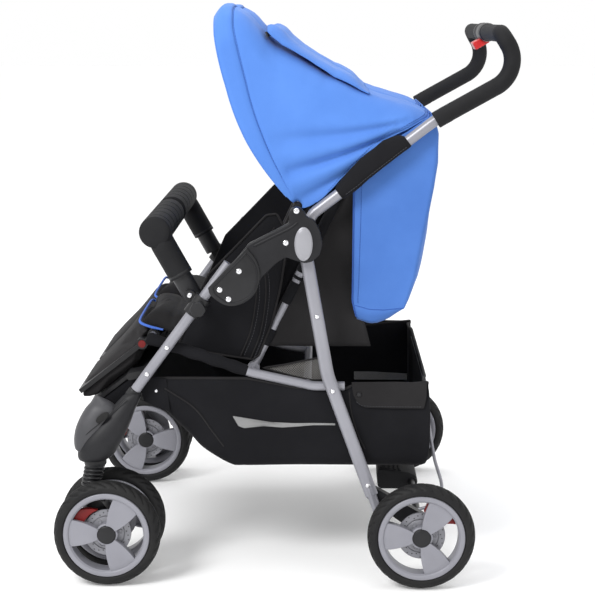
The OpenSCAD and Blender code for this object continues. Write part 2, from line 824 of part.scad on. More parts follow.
module grip_run(d, more) {
  start = grip_start + grip_dir * (grip_bend * tan(turn(arm(0), 2) / 2) + ring_l + gap - more);
  pipe([at(start, handle_y), at(bend_tip, handle_y), at(handle_top, handle_y),
    at(handle_top, release_w / 2 + gap - more)], [handle_bend, handle_corner], d);
}

module handle_grips() {
  color(black) both() difference() {
    grip_run(foam_d, 0);
    grip_run(handle_d + 2 * fit, overrun);
  }
}

// A loose sleeve of cloth that stands off the tube at its middle
module handle_sleeves() {
  low = handle_elbow + arm_dir * elbow_bend * tan(turn(arm(0), 1) / 2);
  run = grip_start - arm_dir * grip_bend * tan(turn(arm(0), 2) / 2) - low;
  start = low + run * wrap_start_share;
  end = start + run * wrap_share;
  top = (start + end) / 2 + [-arm_dir[1], arm_dir[0]] * wrap_rise;
  y0 = handle_y - wrap_d / 2;
  y1 = handle_y + wrap_d / 2;
  color(cloth_black) both() difference() {
    union() {
      bar(start, wrap_d / 2, top, wrap_mid_d / 2, y0, y1);
      bar(top, wrap_mid_d / 2, end, wrap_d / 2, y0, y1);
    }
    rod(at(start - arm_dir * wrap_d, handle_y), at(end + arm_dir * wrap_d, handle_y), handle_d + 2 * fit);
  }
}

button_rise = release_d / 2 - handle_d / 2 - button_stroke - 3 * gap;

module release_housing() {
  color(black) difference() {
    across(handle_top, -release_w / 2, release_w / 2, release_d);
    across(handle_top, -release_w, release_w, handle_d + 2 * fit);
    translate(at(handle_top - [button_l / 2 + gap, release_d], -button_w / 2 - gap))
      cube([button_l + 2 * gap, button_w + 2 * gap, release_d / 2 + button_rise + button_stroke + gap]);
  }
}

module release_button() {
  color(red) translate(at(handle_top - [button_l / 2, release_d / 2 + 2 * button_stroke], -button_w / 2))
    cube([button_l, button_w, button_rise + 2 * button_stroke]);
}

// Backrests

back_dir = [cos(back_angle), sin(back_angle)];

module backrest_frame() {
  out = seat_out - back_d / 2;
  in = seat_in + back_d / 2 + 4 * gap;
  top = back_pivot + back_dir * back_l;
  color(silver) difference() {
    union() {
      pipe([at(back_pivot, in), at(top, in), at(top, out), at(back_pivot, out)],
        [back_bend, back_bend], back_d);
      for (y = [in, out])
        across(back_pivot, y - back_d / 2 + gap, y + back_d / 2 - gap, back_d + recline_pin_d);
    }
    across(back_pivot, 0, rail_y, recline_pin_d + 2 * fit);
  }
}

module backrest_pad() {
  color(cloth_black) lay(back_pivot, seat_mid, back_dir)
    translate([back_l + back_d / 2 - back_pad_l / 2, 0, back_d / 2 + gap])
      cushion(back_pad_l, seat_w - 2 * (canopy_t + gap), back_pad_t, [-0.5, 0, 0.45]);
}

module backrest_frame_left() { on_left() backrest_frame(); }
module backrest_frame_right() { backrest_frame(); }
module backrest_pad_left() { on_left() backrest_pad(); }
module backrest_pad_right() { backrest_pad(); }

// Rear drape: a hanging sheet that runs along one side, round the back and along the other side

drape_row_shares = [0, 0.08, 0.2, 0.35, 0.5, 0.68, 0.84, 0.92, 1];
drape_seam_share = 0.84;
drape_rise_share = 0.55;
drape_steps = len(drape_row_shares) - 1;
drape_side_steps = 6;
drape_back_steps = 12;
drape_waves = 3;

function drape_front(t) = side(drape_top, drape_low, t);
function drape_back(t) = side(drape_tail, drape_low_tail, t);
function drape_point(s, t, off) =
  let (a = drape_front(t), b = drape_back(t) + [drape_swell * sin(180 * pow(t, drape_rise_share)), 0],
    back = s > 1 && s < 2,
    tuck = drape_tuck * max(0, t - drape_seam_share) / (1 - drape_seam_share),
    x = s <= 1 ? side(a, b, s) : s >= 2 ? side(b, a, s - 2) : b,
    in = off + tuck,
    y = s <= 1 ? canopy_out - in : s >= 2 ? seat_in + in : side(canopy_out - in, seat_in + in, s - 1),
    wave = back ? drape_fold * sqrt(t) * sin(180 * drape_waves * (s - 1)) : 0,
    u = s <= 1 ? s : s >= 2 ? 3 - s : 1,
    sag = drape_sag * t * 4 * u * (1 - u),
    inset = s >= 1 && s <= 2 ? off : 0)
  [x[0] - wave - inset * rear_edge[0], y, x[1] - sag - inset * rear_edge[1]];

module rear_drape() {
  runs = concat([for (i = [0 : drape_side_steps]) i / drape_side_steps],
    [for (i = [1 : drape_back_steps - 1]) 1 + i / drape_back_steps],
    [for (i = [0 : drape_side_steps]) 2 + i / drape_side_steps]);
  nu = len(runs) - 1;
  color(blue) sheet([for (s = runs, t = drape_row_shares) drape_point(s, t, 0)],
    [for (s = runs, t = drape_row_shares) drape_point(s, t, drape_t)], nu, drape_steps);
}

module rear_drape_left() { on_left() rear_drape(); }
module rear_drape_right() { rear_drape(); }

// Footrests

// Width of the shoulder beside each hinge sleeve, and depth of the notch between them
foot_shoulder = 3;
foot_notch = 12;

module footrest_board() {
  color(black) difference() {
    union() {
      lay(foot_pivot, seat_in + gap, panel_dir)
        translate([0, 0, -foot_t / 2]) cube([foot_l, seat_w - gap, foot_t]);
      for (y = [seat_in + gap, seat_out - foot_sleeve_l])
        across(foot_pivot, y, y + foot_sleeve_l, foot_sleeve_d);
      across(foot_pivot + panel_dir * foot_button_at, seat_out - foot_sleeve_l, seat_out, foot_sleeve_d);
    }
    across(foot_pivot, 0, rail_y, cross_d + 2 * fit);
    lay(foot_pivot, seat_in + foot_sleeve_l + foot_shoulder, panel_dir)
      translate([-foot_sleeve_d, 0, -foot_sleeve_d])
        cube([foot_notch + foot_sleeve_d, seat_w - 2 * (foot_sleeve_l + foot_shoulder), 2 * foot_sleeve_d]);
    across(foot_pivot + panel_dir * foot_button_at, seat_out - 3 * foot_button_stroke, rail_y,
      foot_button_d + gap);
  }
}

module footrest_pad() {
  color(cloth_black) lay(foot_pivot, seat_mid, panel_dir) mirror([0, 0, 1])
    translate([foot_l - foot_pad_l / 2, 0, foot_t / 2 + gap])
      cushion(foot_pad_l, seat_w - 2 * gap, foot_pad_t, [0]);
}

module footrest_button() {
  color(red) across(foot_pivot + panel_dir * foot_button_at,
    seat_out - 2 * foot_button_stroke + gap, seat_out + foot_button_stroke / 2, foot_button_d);
}

module footrest_board_left() { on_left() footrest_board(); }
module footrest_board_right() { footrest_board(); }
module footrest_pad_left() { on_left() footrest_pad(); }
module footrest_pad_right() { footrest_pad(); }
module footrest_button_left() { on_left() footrest_button(); }
module footrest_button_right() { footrest_button(); }

// Canopies: a fan of arches about the pivot, from the front hem to the rear edge

bow_angle_share = 0.01;
bow_reach_share = 0.93;
leg_steps = 4;
corner_steps = 4;

function arch(r, w, c) = concat(
  [for (k = [0 : leg_steps - 1]) [w / 2, canopy_hub + (r - c - canopy_hub) * k / leg_steps]],
  [for (k = [0 : corner_steps], a = 90 * k / corner_steps) [w / 2 - c + c * cos(a), r - c + c * sin(a)]],
  [[0, r]],
  [for (k = [corner_steps : -1 : 0])
    [-w / 2 + c - c * cos(90 * k / corner_steps), r - c + c * sin(90 * k / corner_steps)]],
  [for (k = [leg_steps - 1 : -1 : 0]) [-w / 2, canopy_hub + (r - c - canopy_hub) * k / leg_steps]]);

// The front hem leans further forward towards the pivot: [share of the reach, degrees]
hem_lean_shares = [[0, 25], [0.16, 19], [0.37, 14], [0.65, 7], [0.89, 2], [1, -1]];

function hem_angle(r) = canopy_front_angle + lookup(r / canopy_reach, hem_lean_shares);
function canopy_angle(r, t) = side(hem_angle(r), canopy_rear_angle, t);
function canopy_mid() = (canopy_out + seat_in) / 2;

module canopy() {
  n = len(roof_shares) - 1;
  function skin(off) = [for (s = roof_shares,
    p = arch(s[1] * canopy_reach - off, canopy_w - 2 * off, canopy_round))
    let (a = canopy_angle(p[1], s[0]))
    [canopy_pivot[0] + p[1] * cos(a), canopy_mid() + p[0], canopy_pivot[1] + p[1] * sin(a)]];
  color(blue) mirror([0, 1, 0]) translate([0, -2 * canopy_mid(), 0])
    sheet(skin(0), skin(canopy_t), n, len(arch(1, 1, 0)) - 1);
}

module canopy_bow() {
  a = canopy_angle(canopy_reach, bow_angle_share);
  tip = canopy_pivot + canopy_reach * bow_reach_share * [cos(a), sin(a)];
  out = canopy_out - bow_inset;
  in = seat_in + bow_inset;
  color(black) difference() {
    union() {
      pipe([at(canopy_pivot, in), at(tip, in), at(tip, out), at(canopy_pivot, out)],
        [bow_bend, bow_bend], bow_d);
      for (y = [in, out]) across(canopy_pivot, y - bow_d / 2, y + bow_d / 2, canopy_pin_d + bow_d);
    }
    across(canopy_pivot, 0, handle_y, canopy_pin_d + 2 * fit);
  }
}

module canopy_left() { on_left() canopy(); }
module canopy_right() { canopy(); }
module canopy_bow_left() { on_left() canopy_bow(); }
module canopy_bow_right() { canopy_bow(); }

// Casters

module caster_stem() {
  color(silver) translate([stem_x, caster_y, 0]) {
    translate([0, 0, stem_low]) cylinder(h = housing_low + housing_h - stem_low, d = stem_d);
    translate([0, 0, flange_low]) cylinder(h = flange_t, d = spring_d + flange_t);
  }
}

spring_rings = 8;
spring_sides = 6;

module caster_spring() {
  coil_r = (spring_d - spring_wire) / 2;
  low = yoke_top + gap + spring_wire / 2;
  rise = flange_low - gap - spring_wire / 2 - low;
  n = spring_curls * spring_rings;
  centres = [for (i = [0 : n])
    let (a = 360 * i / spring_rings) [coil_r * cos(a), coil_r * sin(a), low + rise * i / n]];
  points = [for (i = [0 : n], k = [0 : spring_sides - 1])
    let (a = 360 * i / spring_rings, b = 360 * k / spring_sides, w = spring_wire / 2)
    centres[i] + [w * cos(b) * cos(a), w * cos(b) * sin(a), w * sin(b)]];
  m = spring_sides;
  skin = [for (i = [0 : n - 1], k = [0 : m - 1])
    let (p = i * m + k, q = i * m + (k + 1) % m) each strip(p, q, q + m, p + m)];
  first = [for (k = [1 : m - 2]) [0, k + 1, k]];
  last = [for (k = [1 : m - 2]) [n * m, n * m + k, n * m + k + 1]];
  self_gap = min([for (i = [0 : n - spring_rings / 2], j = [i + spring_rings / 2 : n])
    norm(centres[i] - centres[j])]) - spring_wire;
  echo(spring_self_gap = self_gap);
  color(black) translate([stem_x, caster_y, 0]) polyhedron(points, concat(skin, first, last), convexity = 10);
}

module caster_yoke() {
  axle_at = [front_axle_x, axle_z];
  sleeve_low = stem_low - 2 * suspension_room;
  knee = [stem_x, (stem_low + yoke_top) / 2];
  axle_half = (pair_pitch + tyre_w) / 2 - overrun;
  collar_half = (pair_pitch - tyre_w) / 2 - gap;
  color(black) difference() {
    union() {
      bar(axle_at, yoke_w / 2, knee, stem_d, caster_y - yoke_w / 2, caster_y + yoke_w / 2);
      translate([stem_x, caster_y, sleeve_low]) cylinder(h = yoke_top - sleeve_low, d = yoke_w);
      across(axle_at, caster_y - axle_half, caster_y + axle_half, axle_d);
      across(axle_at, caster_y - collar_half, caster_y + collar_half, hub_d / 2);
    }
    translate([stem_x, caster_y, sleeve_low + suspension_room / 2])
      cylinder(h = yoke_top, d = stem_d + 2 * fit);
  }
}

module caster_stem_left() { on_left() caster_stem(); }
module caster_stem_right() { caster_stem(); }
module caster_spring_left() { on_left() caster_spring(); }
module caster_spring_right() { caster_spring(); }
module caster_yoke_left() { on_left() caster_yoke(); }
module caster_yoke_right() { caster_yoke(); }

// Wheels, drawn about the origin with the axle along Y

tyre_round_share = 0.48;
spoke_count = 3;

module tyre() {
  c = tyre_h * tyre_round_share;
  color(rubber) rotate([90, 0, 0]) rotate_extrude() {
    translate([rim_r + fit, -tyre_w / 2 + c]) square([tyre_h - fit, tyre_w - 2 * c]);
    translate([rim_r + fit, -tyre_w / 2]) square([tyre_h - fit - c, tyre_w]);
    for (s = [-1, 1]) translate([rim_r + tyre_h - c, s * (tyre_w / 2 - c)]) circle(c);
  }
}

module rim_opening() {
  r = rim_r - rim_wall;
  h = hub_d / 2;
  half = 180 / spoke_count - spoke_half;
  intersection() {
    difference() {
      circle(r);
      circle(h);
    }
    polygon([[0, 0], 2 * r * [cos(half), -sin(half)], [2 * r, 0], 2 * r * [cos(half), sin(half)]]);
  }
}

module rim() {
  r = rim_r - rim_wall;
  color(silver) rotate([90, 0, 0]) difference() {
    translate([0, 0, -tyre_w / 2]) cylinder(h = tyre_w, r = rim_r);
    for (s = [0, 1]) mirror([0, 0, s]) translate([0, 0, spoke_t / 2]) difference() {
      cylinder(h = tyre_w, r = r);
      cylinder(h = tyre_w, d = hub_d);
    }
    for (k = [0 : spoke_count - 1]) rotate([0, 0, 360 / spoke_count * k])
      translate([0, 0, -tyre_w]) linear_extrude(2 * tyre_w) rim_opening();
    translate([0, 0, -tyre_w]) cylinder(h = 2 * tyre_w, d = axle_d + 2 * fit);
  }
}

module at_front(s, k) {
  translate([front_axle_x, s * (caster_y + k * pair_pitch / 2), axle_z]) children();
}

module at_rear(s) {
  translate([rear_axle_x, s * rear_wheel_y, axle_z]) children();
}

module tyre_front_left_outer() { at_front(-1, 1) tyre(); }
module tyre_front_left_inner() { at_front(-1, -1) tyre(); }
module tyre_front_right_outer() { at_front(1, 1) tyre(); }
module tyre_front_right_inner() { at_front(1, -1) tyre(); }
module tyre_rear_left() { at_rear(-1) tyre(); }
module tyre_rear_right() { at_rear(1) tyre(); }
module rim_front_left_outer() { at_front(-1, 1) rim(); }
module rim_front_left_inner() { at_front(-1, -1) rim(); }
module rim_front_right_outer() { at_front(1, 1) rim(); }
module rim_front_right_inner() { at_front(1, -1) rim(); }
module rim_rear_left() { at_rear(-1) rim(); }
module rim_rear_right() { at_rear(1) rim(); }

front_legs();
fork_housings();
front_panel();
arm_links();
cover_plates();
hinge_caps();
frame_rivets();
canopy_brackets();
seat_frame();
seat_cushion_left();
seat_cushion_right();
side_wings();
basket();
bumper_clamps();
bumper_bar();
bumper_grips();
rear_legs();
rear_axle();
axle_brackets();
basket_hoop();
brake_pedal();
handle_tube();
handle_grips();
handle_sleeves();
release_housing();
release_button();
backrest_frame_left();
backrest_frame_right();
backrest_pad_left();
backrest_pad_right();
rear_drape_left();
rear_drape_right();
footrest_board_left();
footrest_board_right();
footrest_pad_left();
footrest_pad_right();
footrest_button_left();
footrest_button_right();
canopy_bow_left();
canopy_bow_right();
canopy_left();
canopy_right();
caster_stem_left();
caster_stem_right();
caster_spring_left();
caster_spring_right();
caster_yoke_left();
caster_yoke_right();
tyre_front_left_outer();
rim_front_left_outer();
tyre_front_left_inner();
rim_front_left_inner();
tyre_front_right_outer();
rim_front_right_outer();
tyre_front_right_inner();
rim_front_right_inner();
tyre_rear_left();
rim_rear_left();
tyre_rear_right();
rim_rear_right();
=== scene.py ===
"""Dressed scene of a side-by-side twin pushchair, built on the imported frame.

Frame: +X to the rear, +Y to the pushchair's right, +Z up, in metres. Outlines hold side-view points
[x, z] in mm; other tables say what they hold.
"""
import math

import bmesh
import bpy
import numpy as np
from mathutils import Matrix, Vector


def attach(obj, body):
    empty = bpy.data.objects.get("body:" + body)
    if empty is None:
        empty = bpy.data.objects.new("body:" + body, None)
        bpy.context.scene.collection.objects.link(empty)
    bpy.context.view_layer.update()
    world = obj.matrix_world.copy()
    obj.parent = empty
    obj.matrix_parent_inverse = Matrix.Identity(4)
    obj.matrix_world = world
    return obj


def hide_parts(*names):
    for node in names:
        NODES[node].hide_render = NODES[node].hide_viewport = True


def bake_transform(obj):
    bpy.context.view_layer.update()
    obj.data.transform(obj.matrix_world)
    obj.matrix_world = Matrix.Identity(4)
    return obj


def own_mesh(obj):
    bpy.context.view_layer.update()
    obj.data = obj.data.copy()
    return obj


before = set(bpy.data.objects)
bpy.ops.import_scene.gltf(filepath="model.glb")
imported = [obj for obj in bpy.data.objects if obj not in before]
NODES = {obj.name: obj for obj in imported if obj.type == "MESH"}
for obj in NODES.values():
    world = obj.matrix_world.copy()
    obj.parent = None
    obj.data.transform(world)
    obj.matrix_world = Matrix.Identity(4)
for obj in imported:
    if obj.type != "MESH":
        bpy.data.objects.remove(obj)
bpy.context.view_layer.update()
bpy.ops.object.select_all(action="DESELECT")
scene = bpy.context.scene
SIDES = {"left": -1, "right": 1}
MM = 0.001

# Camera, light and floor


def make_stage():
    right = Vector((0.99988, 0.01536, 0))
    up = Vector((-0.00267, 0.17363, 0.98481))
    ahead = Vector((-0.01513, 0.98469, -0.17365))
    turn = Matrix((right, up, -ahead)).transposed().to_4x4()
    turn.translation = (0.0635, -2.978, 0.968)
    data = bpy.data.cameras.new("camera")
    data.sensor_width, data.lens = 36, 96.08
    data.clip_start, data.clip_end = 0.05, 200
    cam = bpy.data.objects.new("camera", data)
    cam.matrix_world = turn
    scene.collection.objects.link(cam)
    scene.camera = cam

    world = bpy.data.worlds.new("studio")
    world.use_nodes = True
    sky = world.node_tree.nodes["Background"]
    sky.inputs["Color"].default_value = (1, 1, 1, 1)
    sky.inputs["Strength"].default_value = 1.0
    scene.world = world
    scene.view_settings.view_transform = "Standard"

    def lamp(name, place, aim, size, power):
        light = bpy.data.lights.new(name, "AREA")
        light.shape, light.size, light.energy = "DISK", size, power
        o = bpy.data.objects.new(name, light)
        o.location = place
        o.rotation_euler = (Vector(aim) - Vector(place)).to_track_quat("-Z", "Y").to_euler()
        scene.collection.objects.link(o)

    lamp("key", (-1.9, -2.6, 2.9), (0, 0, 0.5), 1.4, 120)
    lamp("fill", (2.4, -2.4, 1.5), (0, 0, 0.5), 2.2, 10)
    lamp("top", (0.2, 0.6, 3.2), (0, 0, 0.6), 2.0, 30)

    bpy.ops.mesh.primitive_grid_add(x_subdivisions=2, y_subdivisions=2, size=60, location=(0, 0, -0.0008))
    floor = bpy.context.object
    floor.name = "floor"
    floor.data.materials.append(MATS["floor"])
    floor.select_set(False)


# Materials: sockets with operators, so that patterns read as sums


class Sock:
    def __init__(self, mat, out):
        self.mat, self.out = mat, out

    def _math(self, op, other=None, swap=False):
        n = self.mat.node("ShaderNodeMath", operation=op)
        ends = [self, other] if not swap else [other, self]
        for i, e in enumerate(ends):
            if e is not None:
                self.mat.join(e, n.inputs[i])
        return Sock(self.mat, n.outputs[0])

    def __add__(self, o):
        return self._math("ADD", o)

    def __sub__(self, o):
        return self._math("SUBTRACT", o)

    def __rsub__(self, o):
        return self._math("SUBTRACT", o, swap=True)

    def __mul__(self, o):
        return self._math("MULTIPLY", o)

    def __truediv__(self, o):
        return self._math("DIVIDE", o)

    def sin(self):
        return self._math("SINE")

    def least(self, o):
        return self._math("MINIMUM", o)

    def fold(self, o):
        return self._math("PINGPONG", o)

    def step(self, low, high):
        n = self.mat.node("ShaderNodeMapRange", interpolation_type="SMOOTHSTEP")
        self.mat.join(self, n.inputs["Value"])
        n.inputs["From Min"].default_value, n.inputs["From Max"].default_value = low, high
        return Sock(self.mat, n.outputs["Result"])


class Mat:
    def __init__(self, name):
        self.data = bpy.data.materials.new(name)
        self.data.use_nodes = True
        self.tree = self.data.node_tree
        self.bsdf = self.tree.nodes["Principled BSDF"]
        coord = self.node("ShaderNodeTexCoord")
        split = self.node("ShaderNodeSeparateXYZ")
        self.tree.links.new(coord.outputs["Object"], split.inputs[0])
        self.place = coord.outputs["Object"]
        self.x, self.y, self.z = (Sock(self, o) for o in split.outputs)

    def node(self, kind, **settings):
        n = self.tree.nodes.new(kind)
        for k, v in settings.items():
            setattr(n, k, v)
        return n

    def join(self, value, socket):
        if isinstance(value, Sock):
            self.tree.links.new(value.out, socket)
        else:
            socket.default_value = value

    def noise(self, scale, detail=3, rough=0.55):
        n = self.node("ShaderNodeTexNoise")
        n.inputs["Scale"].default_value, n.inputs["Detail"].default_value = scale, detail
        n.inputs["Roughness"].default_value = rough
        self.tree.links.new(self.place, n.inputs["Vector"])
        return Sock(self, n.outputs["Fac"])

    def cells(self, scale):
        n = self.node("ShaderNodeTexVoronoi")
        n.inputs["Scale"].default_value = scale
        self.tree.links.new(self.place, n.inputs["Vector"])
        return Sock(self, n.outputs["Distance"])

    def mix(self, a, b, share):
        n = self.node("ShaderNodeMix", data_type="RGBA")
        self.join(share, n.inputs["Factor"])
        for value, key in ((a, 6), (b, 7)):
            self.join(value if isinstance(value, Sock) else (*value, 1), n.inputs[key])
        return Sock(self, n.outputs[2])

    def set(self, **values):
        for k, v in values.items():
            key = k.replace("_", " ").title().replace("Ior", "IOR")
            self.join(v if not isinstance(v, tuple) or len(v) != 3 else (*v, 1), self.bsdf.inputs[key])
        return self

    def bump(self, height, depth, strength=1.0):
        n = self.node("ShaderNodeBump")
        n.inputs["Strength"].default_value, n.inputs["Distance"].default_value = strength, depth
        self.join(height, n.inputs["Height"])
        self.tree.links.new(n.outputs["Normal"], self.bsdf.inputs["Normal"])
        return self


def cloth(name, dark, light, pitch, sheen, rough=0.88, depth=0.00025, shine=0.25):
    m = Mat(name)
    k = 2 * math.pi / pitch
    warp = ((m.x + m.y * 0.7) * k).sin()
    weft = ((m.z + m.y * 0.4 - m.x * 0.25) * k).sin()
    weave = (warp * weft) * 0.5 + 0.5
    slub = m.noise(900, 2) * 0.5 + m.noise(38, 3) * 0.5
    worn = m.noise(9, 3).step(0.35, 0.7)
    m.set(base_color=m.mix(dark, light, weave * 0.35 + slub * 0.35 + worn * 0.3),
          roughness=m.noise(30, 2) * 0.12 + (rough - 0.06), sheen_weight=sheen, sheen_roughness=0.4,
          specular_ior_level=shine)
    return m.bump(weave * 0.7 + slub * 0.5, depth, 0.5)


def moulded(name, dark, light, rough, grain=1800, depth=0.00012, coat=0.0, shine=0.3):
    m = Mat(name)
    patch = m.noise(22, 3).step(0.3, 0.7)
    scuff = m.noise(160, 4, 0.7).step(0.62, 0.8)
    m.set(base_color=m.mix(dark, light, patch * 0.5 + scuff * 0.5),
          roughness=patch * 0.08 + scuff * 0.1 + (rough - 0.06), coat_weight=coat, coat_roughness=0.25,
          specular_ior_level=shine)
    return m.bump(m.cells(grain) + m.noise(grain * 0.4, 2) * 0.5, depth, 0.35)


def painted(name, dark, light, metallic, rough):
    m = Mat(name)
    flake = m.noise(2600, 2)
    cloud = m.noise(14, 3).step(0.3, 0.75)
    rub = m.noise(75, 4, 0.7).step(0.66, 0.8)
    m.set(base_color=m.mix(dark, light, flake * 0.45 + cloud * 0.35 + rub * 0.2), metallic=metallic,
          roughness=cloud * 0.07 + rub * 0.12 + (rough - 0.05))
    return m.bump(m.noise(700, 2) + flake * 0.3, 0.00008, 0.35)


def net(name, thread, pitch, share, hole=None):
    """Diamond netting in the side view: see-through where no hole colour is given."""
    m = Mat(name)
    a = (m.x + m.z).fold(pitch / 2)
    b = (m.x - m.z).fold(pitch / 2)
    line = 1 - (a.least(b) / (pitch / 2)).step(share, share + 0.2)
    soft = m.noise(60, 2)
    if hole is None:
        m.set(base_color=m.mix(thread, tuple(c * 0.7 for c in thread), soft), alpha=line)
    else:
        m.set(base_color=m.mix(hole, thread, line * (soft * 0.3 + 0.75)))
    m.set(roughness=soft * 0.1 + 0.75)
    return m.bump(line, 0.0004, 0.4)


def webbing(name, dark, light):
    m = Mat(name)
    rib = ((m.z + m.x * 0.6) * (2 * math.pi / 0.0016)).sin() * 0.5 + 0.5
    cross = (m.y * (2 * math.pi / 0.0021)).sin() * 0.5 + 0.5
    weave = rib * 0.6 + cross * 0.4
    m.set(base_color=m.mix(dark, light, weave * 0.7 + m.noise(60, 2) * 0.3),
          roughness=m.noise(40, 2) * 0.1 + 0.7)
    return m.bump(weave, 0.0003, 0.6)


def make_materials():
    made = {
        "silver": painted("silver_tube", (0.20, 0.20, 0.225), (0.30, 0.30, 0.33), 0.35, 0.40),
        "rim": painted("silver_rim", (0.18, 0.18, 0.205), (0.25, 0.25, 0.28), 0.15, 0.46),
        "disc": painted("disc_grey", (0.17, 0.17, 0.19), (0.27, 0.27, 0.29), 0.3, 0.42),
        "bright": painted("bright_steel", (0.62, 0.62, 0.64), (0.78, 0.78, 0.80), 1.0, 0.20),
        "badge": painted("badge_silver", (0.24, 0.24, 0.26), (0.31, 0.31, 0.335), 0.25, 0.42),
        "plastic": moulded("black_plastic", (0.007, 0.007, 0.008), (0.017, 0.017, 0.019), 0.44),
        "satin": moulded("dark_plastic", (0.008, 0.008, 0.0095), (0.016, 0.016, 0.018), 0.5, shine=0.22),
        "shell": moulded("fork_shell", (0.040, 0.040, 0.044), (0.062, 0.062, 0.067), 0.46),
        "foam": moulded("black_foam", (0.006, 0.006, 0.007), (0.014, 0.014, 0.0155), 0.74, 2600, 0.0003, 0,
                        0.2),
        "tyre": moulded("tyre_rubber", (0.007, 0.007, 0.0075), (0.018, 0.0175, 0.017), 0.62, 900, 0.0002, 0,
                        0.2),
        "red": moulded("red_plastic", (0.42, 0.006, 0.008), (0.60, 0.016, 0.016), 0.34, 1500, 0.00006, 0.3),
        # Red plastic darkened to stand for the shadow on the calipers: painted shade
        "painted_shade_red": moulded("dark_red_plastic", (0.13, 0.003, 0.003), (0.22, 0.006, 0.006), 0.5, 1500,
                            0.00006),
        "spring": moulded("spring_black", (0.006, 0.006, 0.007), (0.016, 0.016, 0.018), 0.42, 900, 0.00006,
                          0.1),
        "black": cloth("black_cloth", (0.0045, 0.0045, 0.0055), (0.012, 0.012, 0.014), 0.0015, 0.02, 0.9,
                       0.00025, 0.1),
        "lining": cloth("lining_cloth", (0.009, 0.0085, 0.009), (0.022, 0.021, 0.022), 0.0013, 0.04, 0.9,
                        0.00025, 0.15),
        "blue": cloth("blue_cloth", (0.056, 0.155, 0.470), (0.090, 0.222, 0.600), 0.0011, 0.08, 0.82,
                      0.00015),
        # A darker copy of the blue cloth, as painted shade: the rear drapes hang in shade
        "drape_blue_painted_shade": cloth("drape_cloth", (0.040, 0.115, 0.365), (0.066, 0.168, 0.475), 0.0011, 0.08, 0.82,
                            0.00015),
        "seam": cloth("blue_seam", (0.018, 0.055, 0.22), (0.035, 0.10, 0.36), 0.0011, 0.05),
        "piping": cloth("blue_piping", (0.040, 0.105, 0.42), (0.070, 0.165, 0.56), 0.0011, 0.08),
        "thread": cloth("thread", (0.03, 0.03, 0.034), (0.07, 0.07, 0.078), 0.0007, 0.05),
        "net": net("side_net", (0.13, 0.125, 0.12), 0.0042, 0.30),
        "window": net("basket_net", (0.30, 0.30, 0.30), 0.0030, 0.30, (0.06, 0.06, 0.06)),
        "webbing": webbing("webbing", (0.010, 0.010, 0.011), (0.034, 0.034, 0.036)),
    }
    floor = Mat("floor")
    floor.set(base_color=floor.mix((0.86, 0.86, 0.86), (0.89, 0.89, 0.89), floor.noise(3, 2)), roughness=0.7,
              emission_color=(1, 1, 1), emission_strength=0.12)
    made["floor"] = floor
    return {k: m.data for k, m in made.items()}


MATS = make_materials()
make_stage()

# Shapes: each maker returns (points, faces) in metres


def array(points):
    return np.asarray(points, float)


def unit(v):
    v = array(v)
    return v / np.linalg.norm(v)


def at_depth(p, y):
    """A side-view point [x, z] in mm at a depth y in mm."""
    return np.array([p[0], y, p[1]]) * MM


def curve(points, n):
    """A smooth open line through points, resampled evenly to n points."""
    p = array(points)
    q = np.vstack([2 * p[0] - p[1], p, 2 * p[-1] - p[-2]])
    out = []
    for i in range(1, len(q) - 2):
        a, b, c, d = q[i - 1:i + 3]
        for t in np.linspace(0, 1, 24, endpoint=False):
            out.append(0.5 * (2 * b + (c - a) * t + (2 * a - 5 * b + 4 * c - d) * t * t
                              + (3 * b - a - 3 * c + d) * t ** 3))
    out.append(p[-1])
    return even(out, n)


def even(points, n):
    """The same line with n evenly spaced points."""
    p = array(points)
    s = np.concatenate([[0], np.cumsum(np.linalg.norm(np.diff(p, axis=0), axis=1))])
    at = np.linspace(0, s[-1], n)
    return np.stack([np.interp(at, s, p[:, k]) for k in range(p.shape[1])], 1)


def bent(points, radii, step=5 * MM):
    """A line with round corners, as the frame's tubes run."""
    p = array(points)
    out = [p[0]]
    for i in range(1, len(p) - 1):
        u, v = unit(p[i] - p[i - 1]), unit(p[i + 1] - p[i])
        a = math.acos(np.clip(u @ v, -1, 1))
        r = radii[i - 1]
        n = unit(v - u * math.cos(a))
        c = p[i] - u * r * math.tan(a / 2) + n * r
        for t in np.linspace(0, a, max(4, int(r * a / step))):
            out.append(c - n * r * math.cos(t) + u * r * math.sin(t))
    return np.vstack(out + [p[-1]])


def ring(r, n):
    return [(r * math.cos(2 * math.pi * k / n), r * math.sin(2 * math.pi * k / n)) for k in range(n)]


def band(w, t, soft=0.25):
    """A flat strap's outline with rounded edges."""
    e = min(t / 2, w * soft)
    out = []
    for cx, cz, a0 in ((1, 1, 0), (-1, 1, 90), (-1, -1, 180), (1, -1, 270)):
        for k in range(3):
            a = math.radians(a0 + 45 * k)
            out.append((cx * (w / 2 - e) + e * math.cos(a), cz * (t / 2 - e) + e * math.sin(a)))
    return out


def ring_faces(rows, m, closed=False):
    """Faces between rows of m points that each run round; closed joins the last row to the first."""
    return [(i * m + k, i * m + (k + 1) % m, (i + 1) % rows * m + (k + 1) % m, (i + 1) % rows * m + k)
            for i in range(rows if closed else rows - 1) for k in range(m)]


def end_faces(rows, m):
    """Faces that close the first and the last row."""
    return [tuple(range(m))[::-1], tuple((rows - 1) * m + k for k in range(m))]


def tip_faces(start, n, tip):
    """Triangles from a row of n points, the first of which is start, to one point."""
    return [(start + k, start + (k + 1) % n, tip) for k in range(n)]


def sheet_faces(rows, m):
    """Faces of an open sheet made of rows of m points."""
    return [(i * m + j, i * m + j + 1, (i + 1) * m + j + 1, (i + 1) * m + j)
            for i in range(rows - 1) for j in range(m - 1)]


def turned_over(faces):
    return [(a, d, c, b) for a, b, c, d in faces]


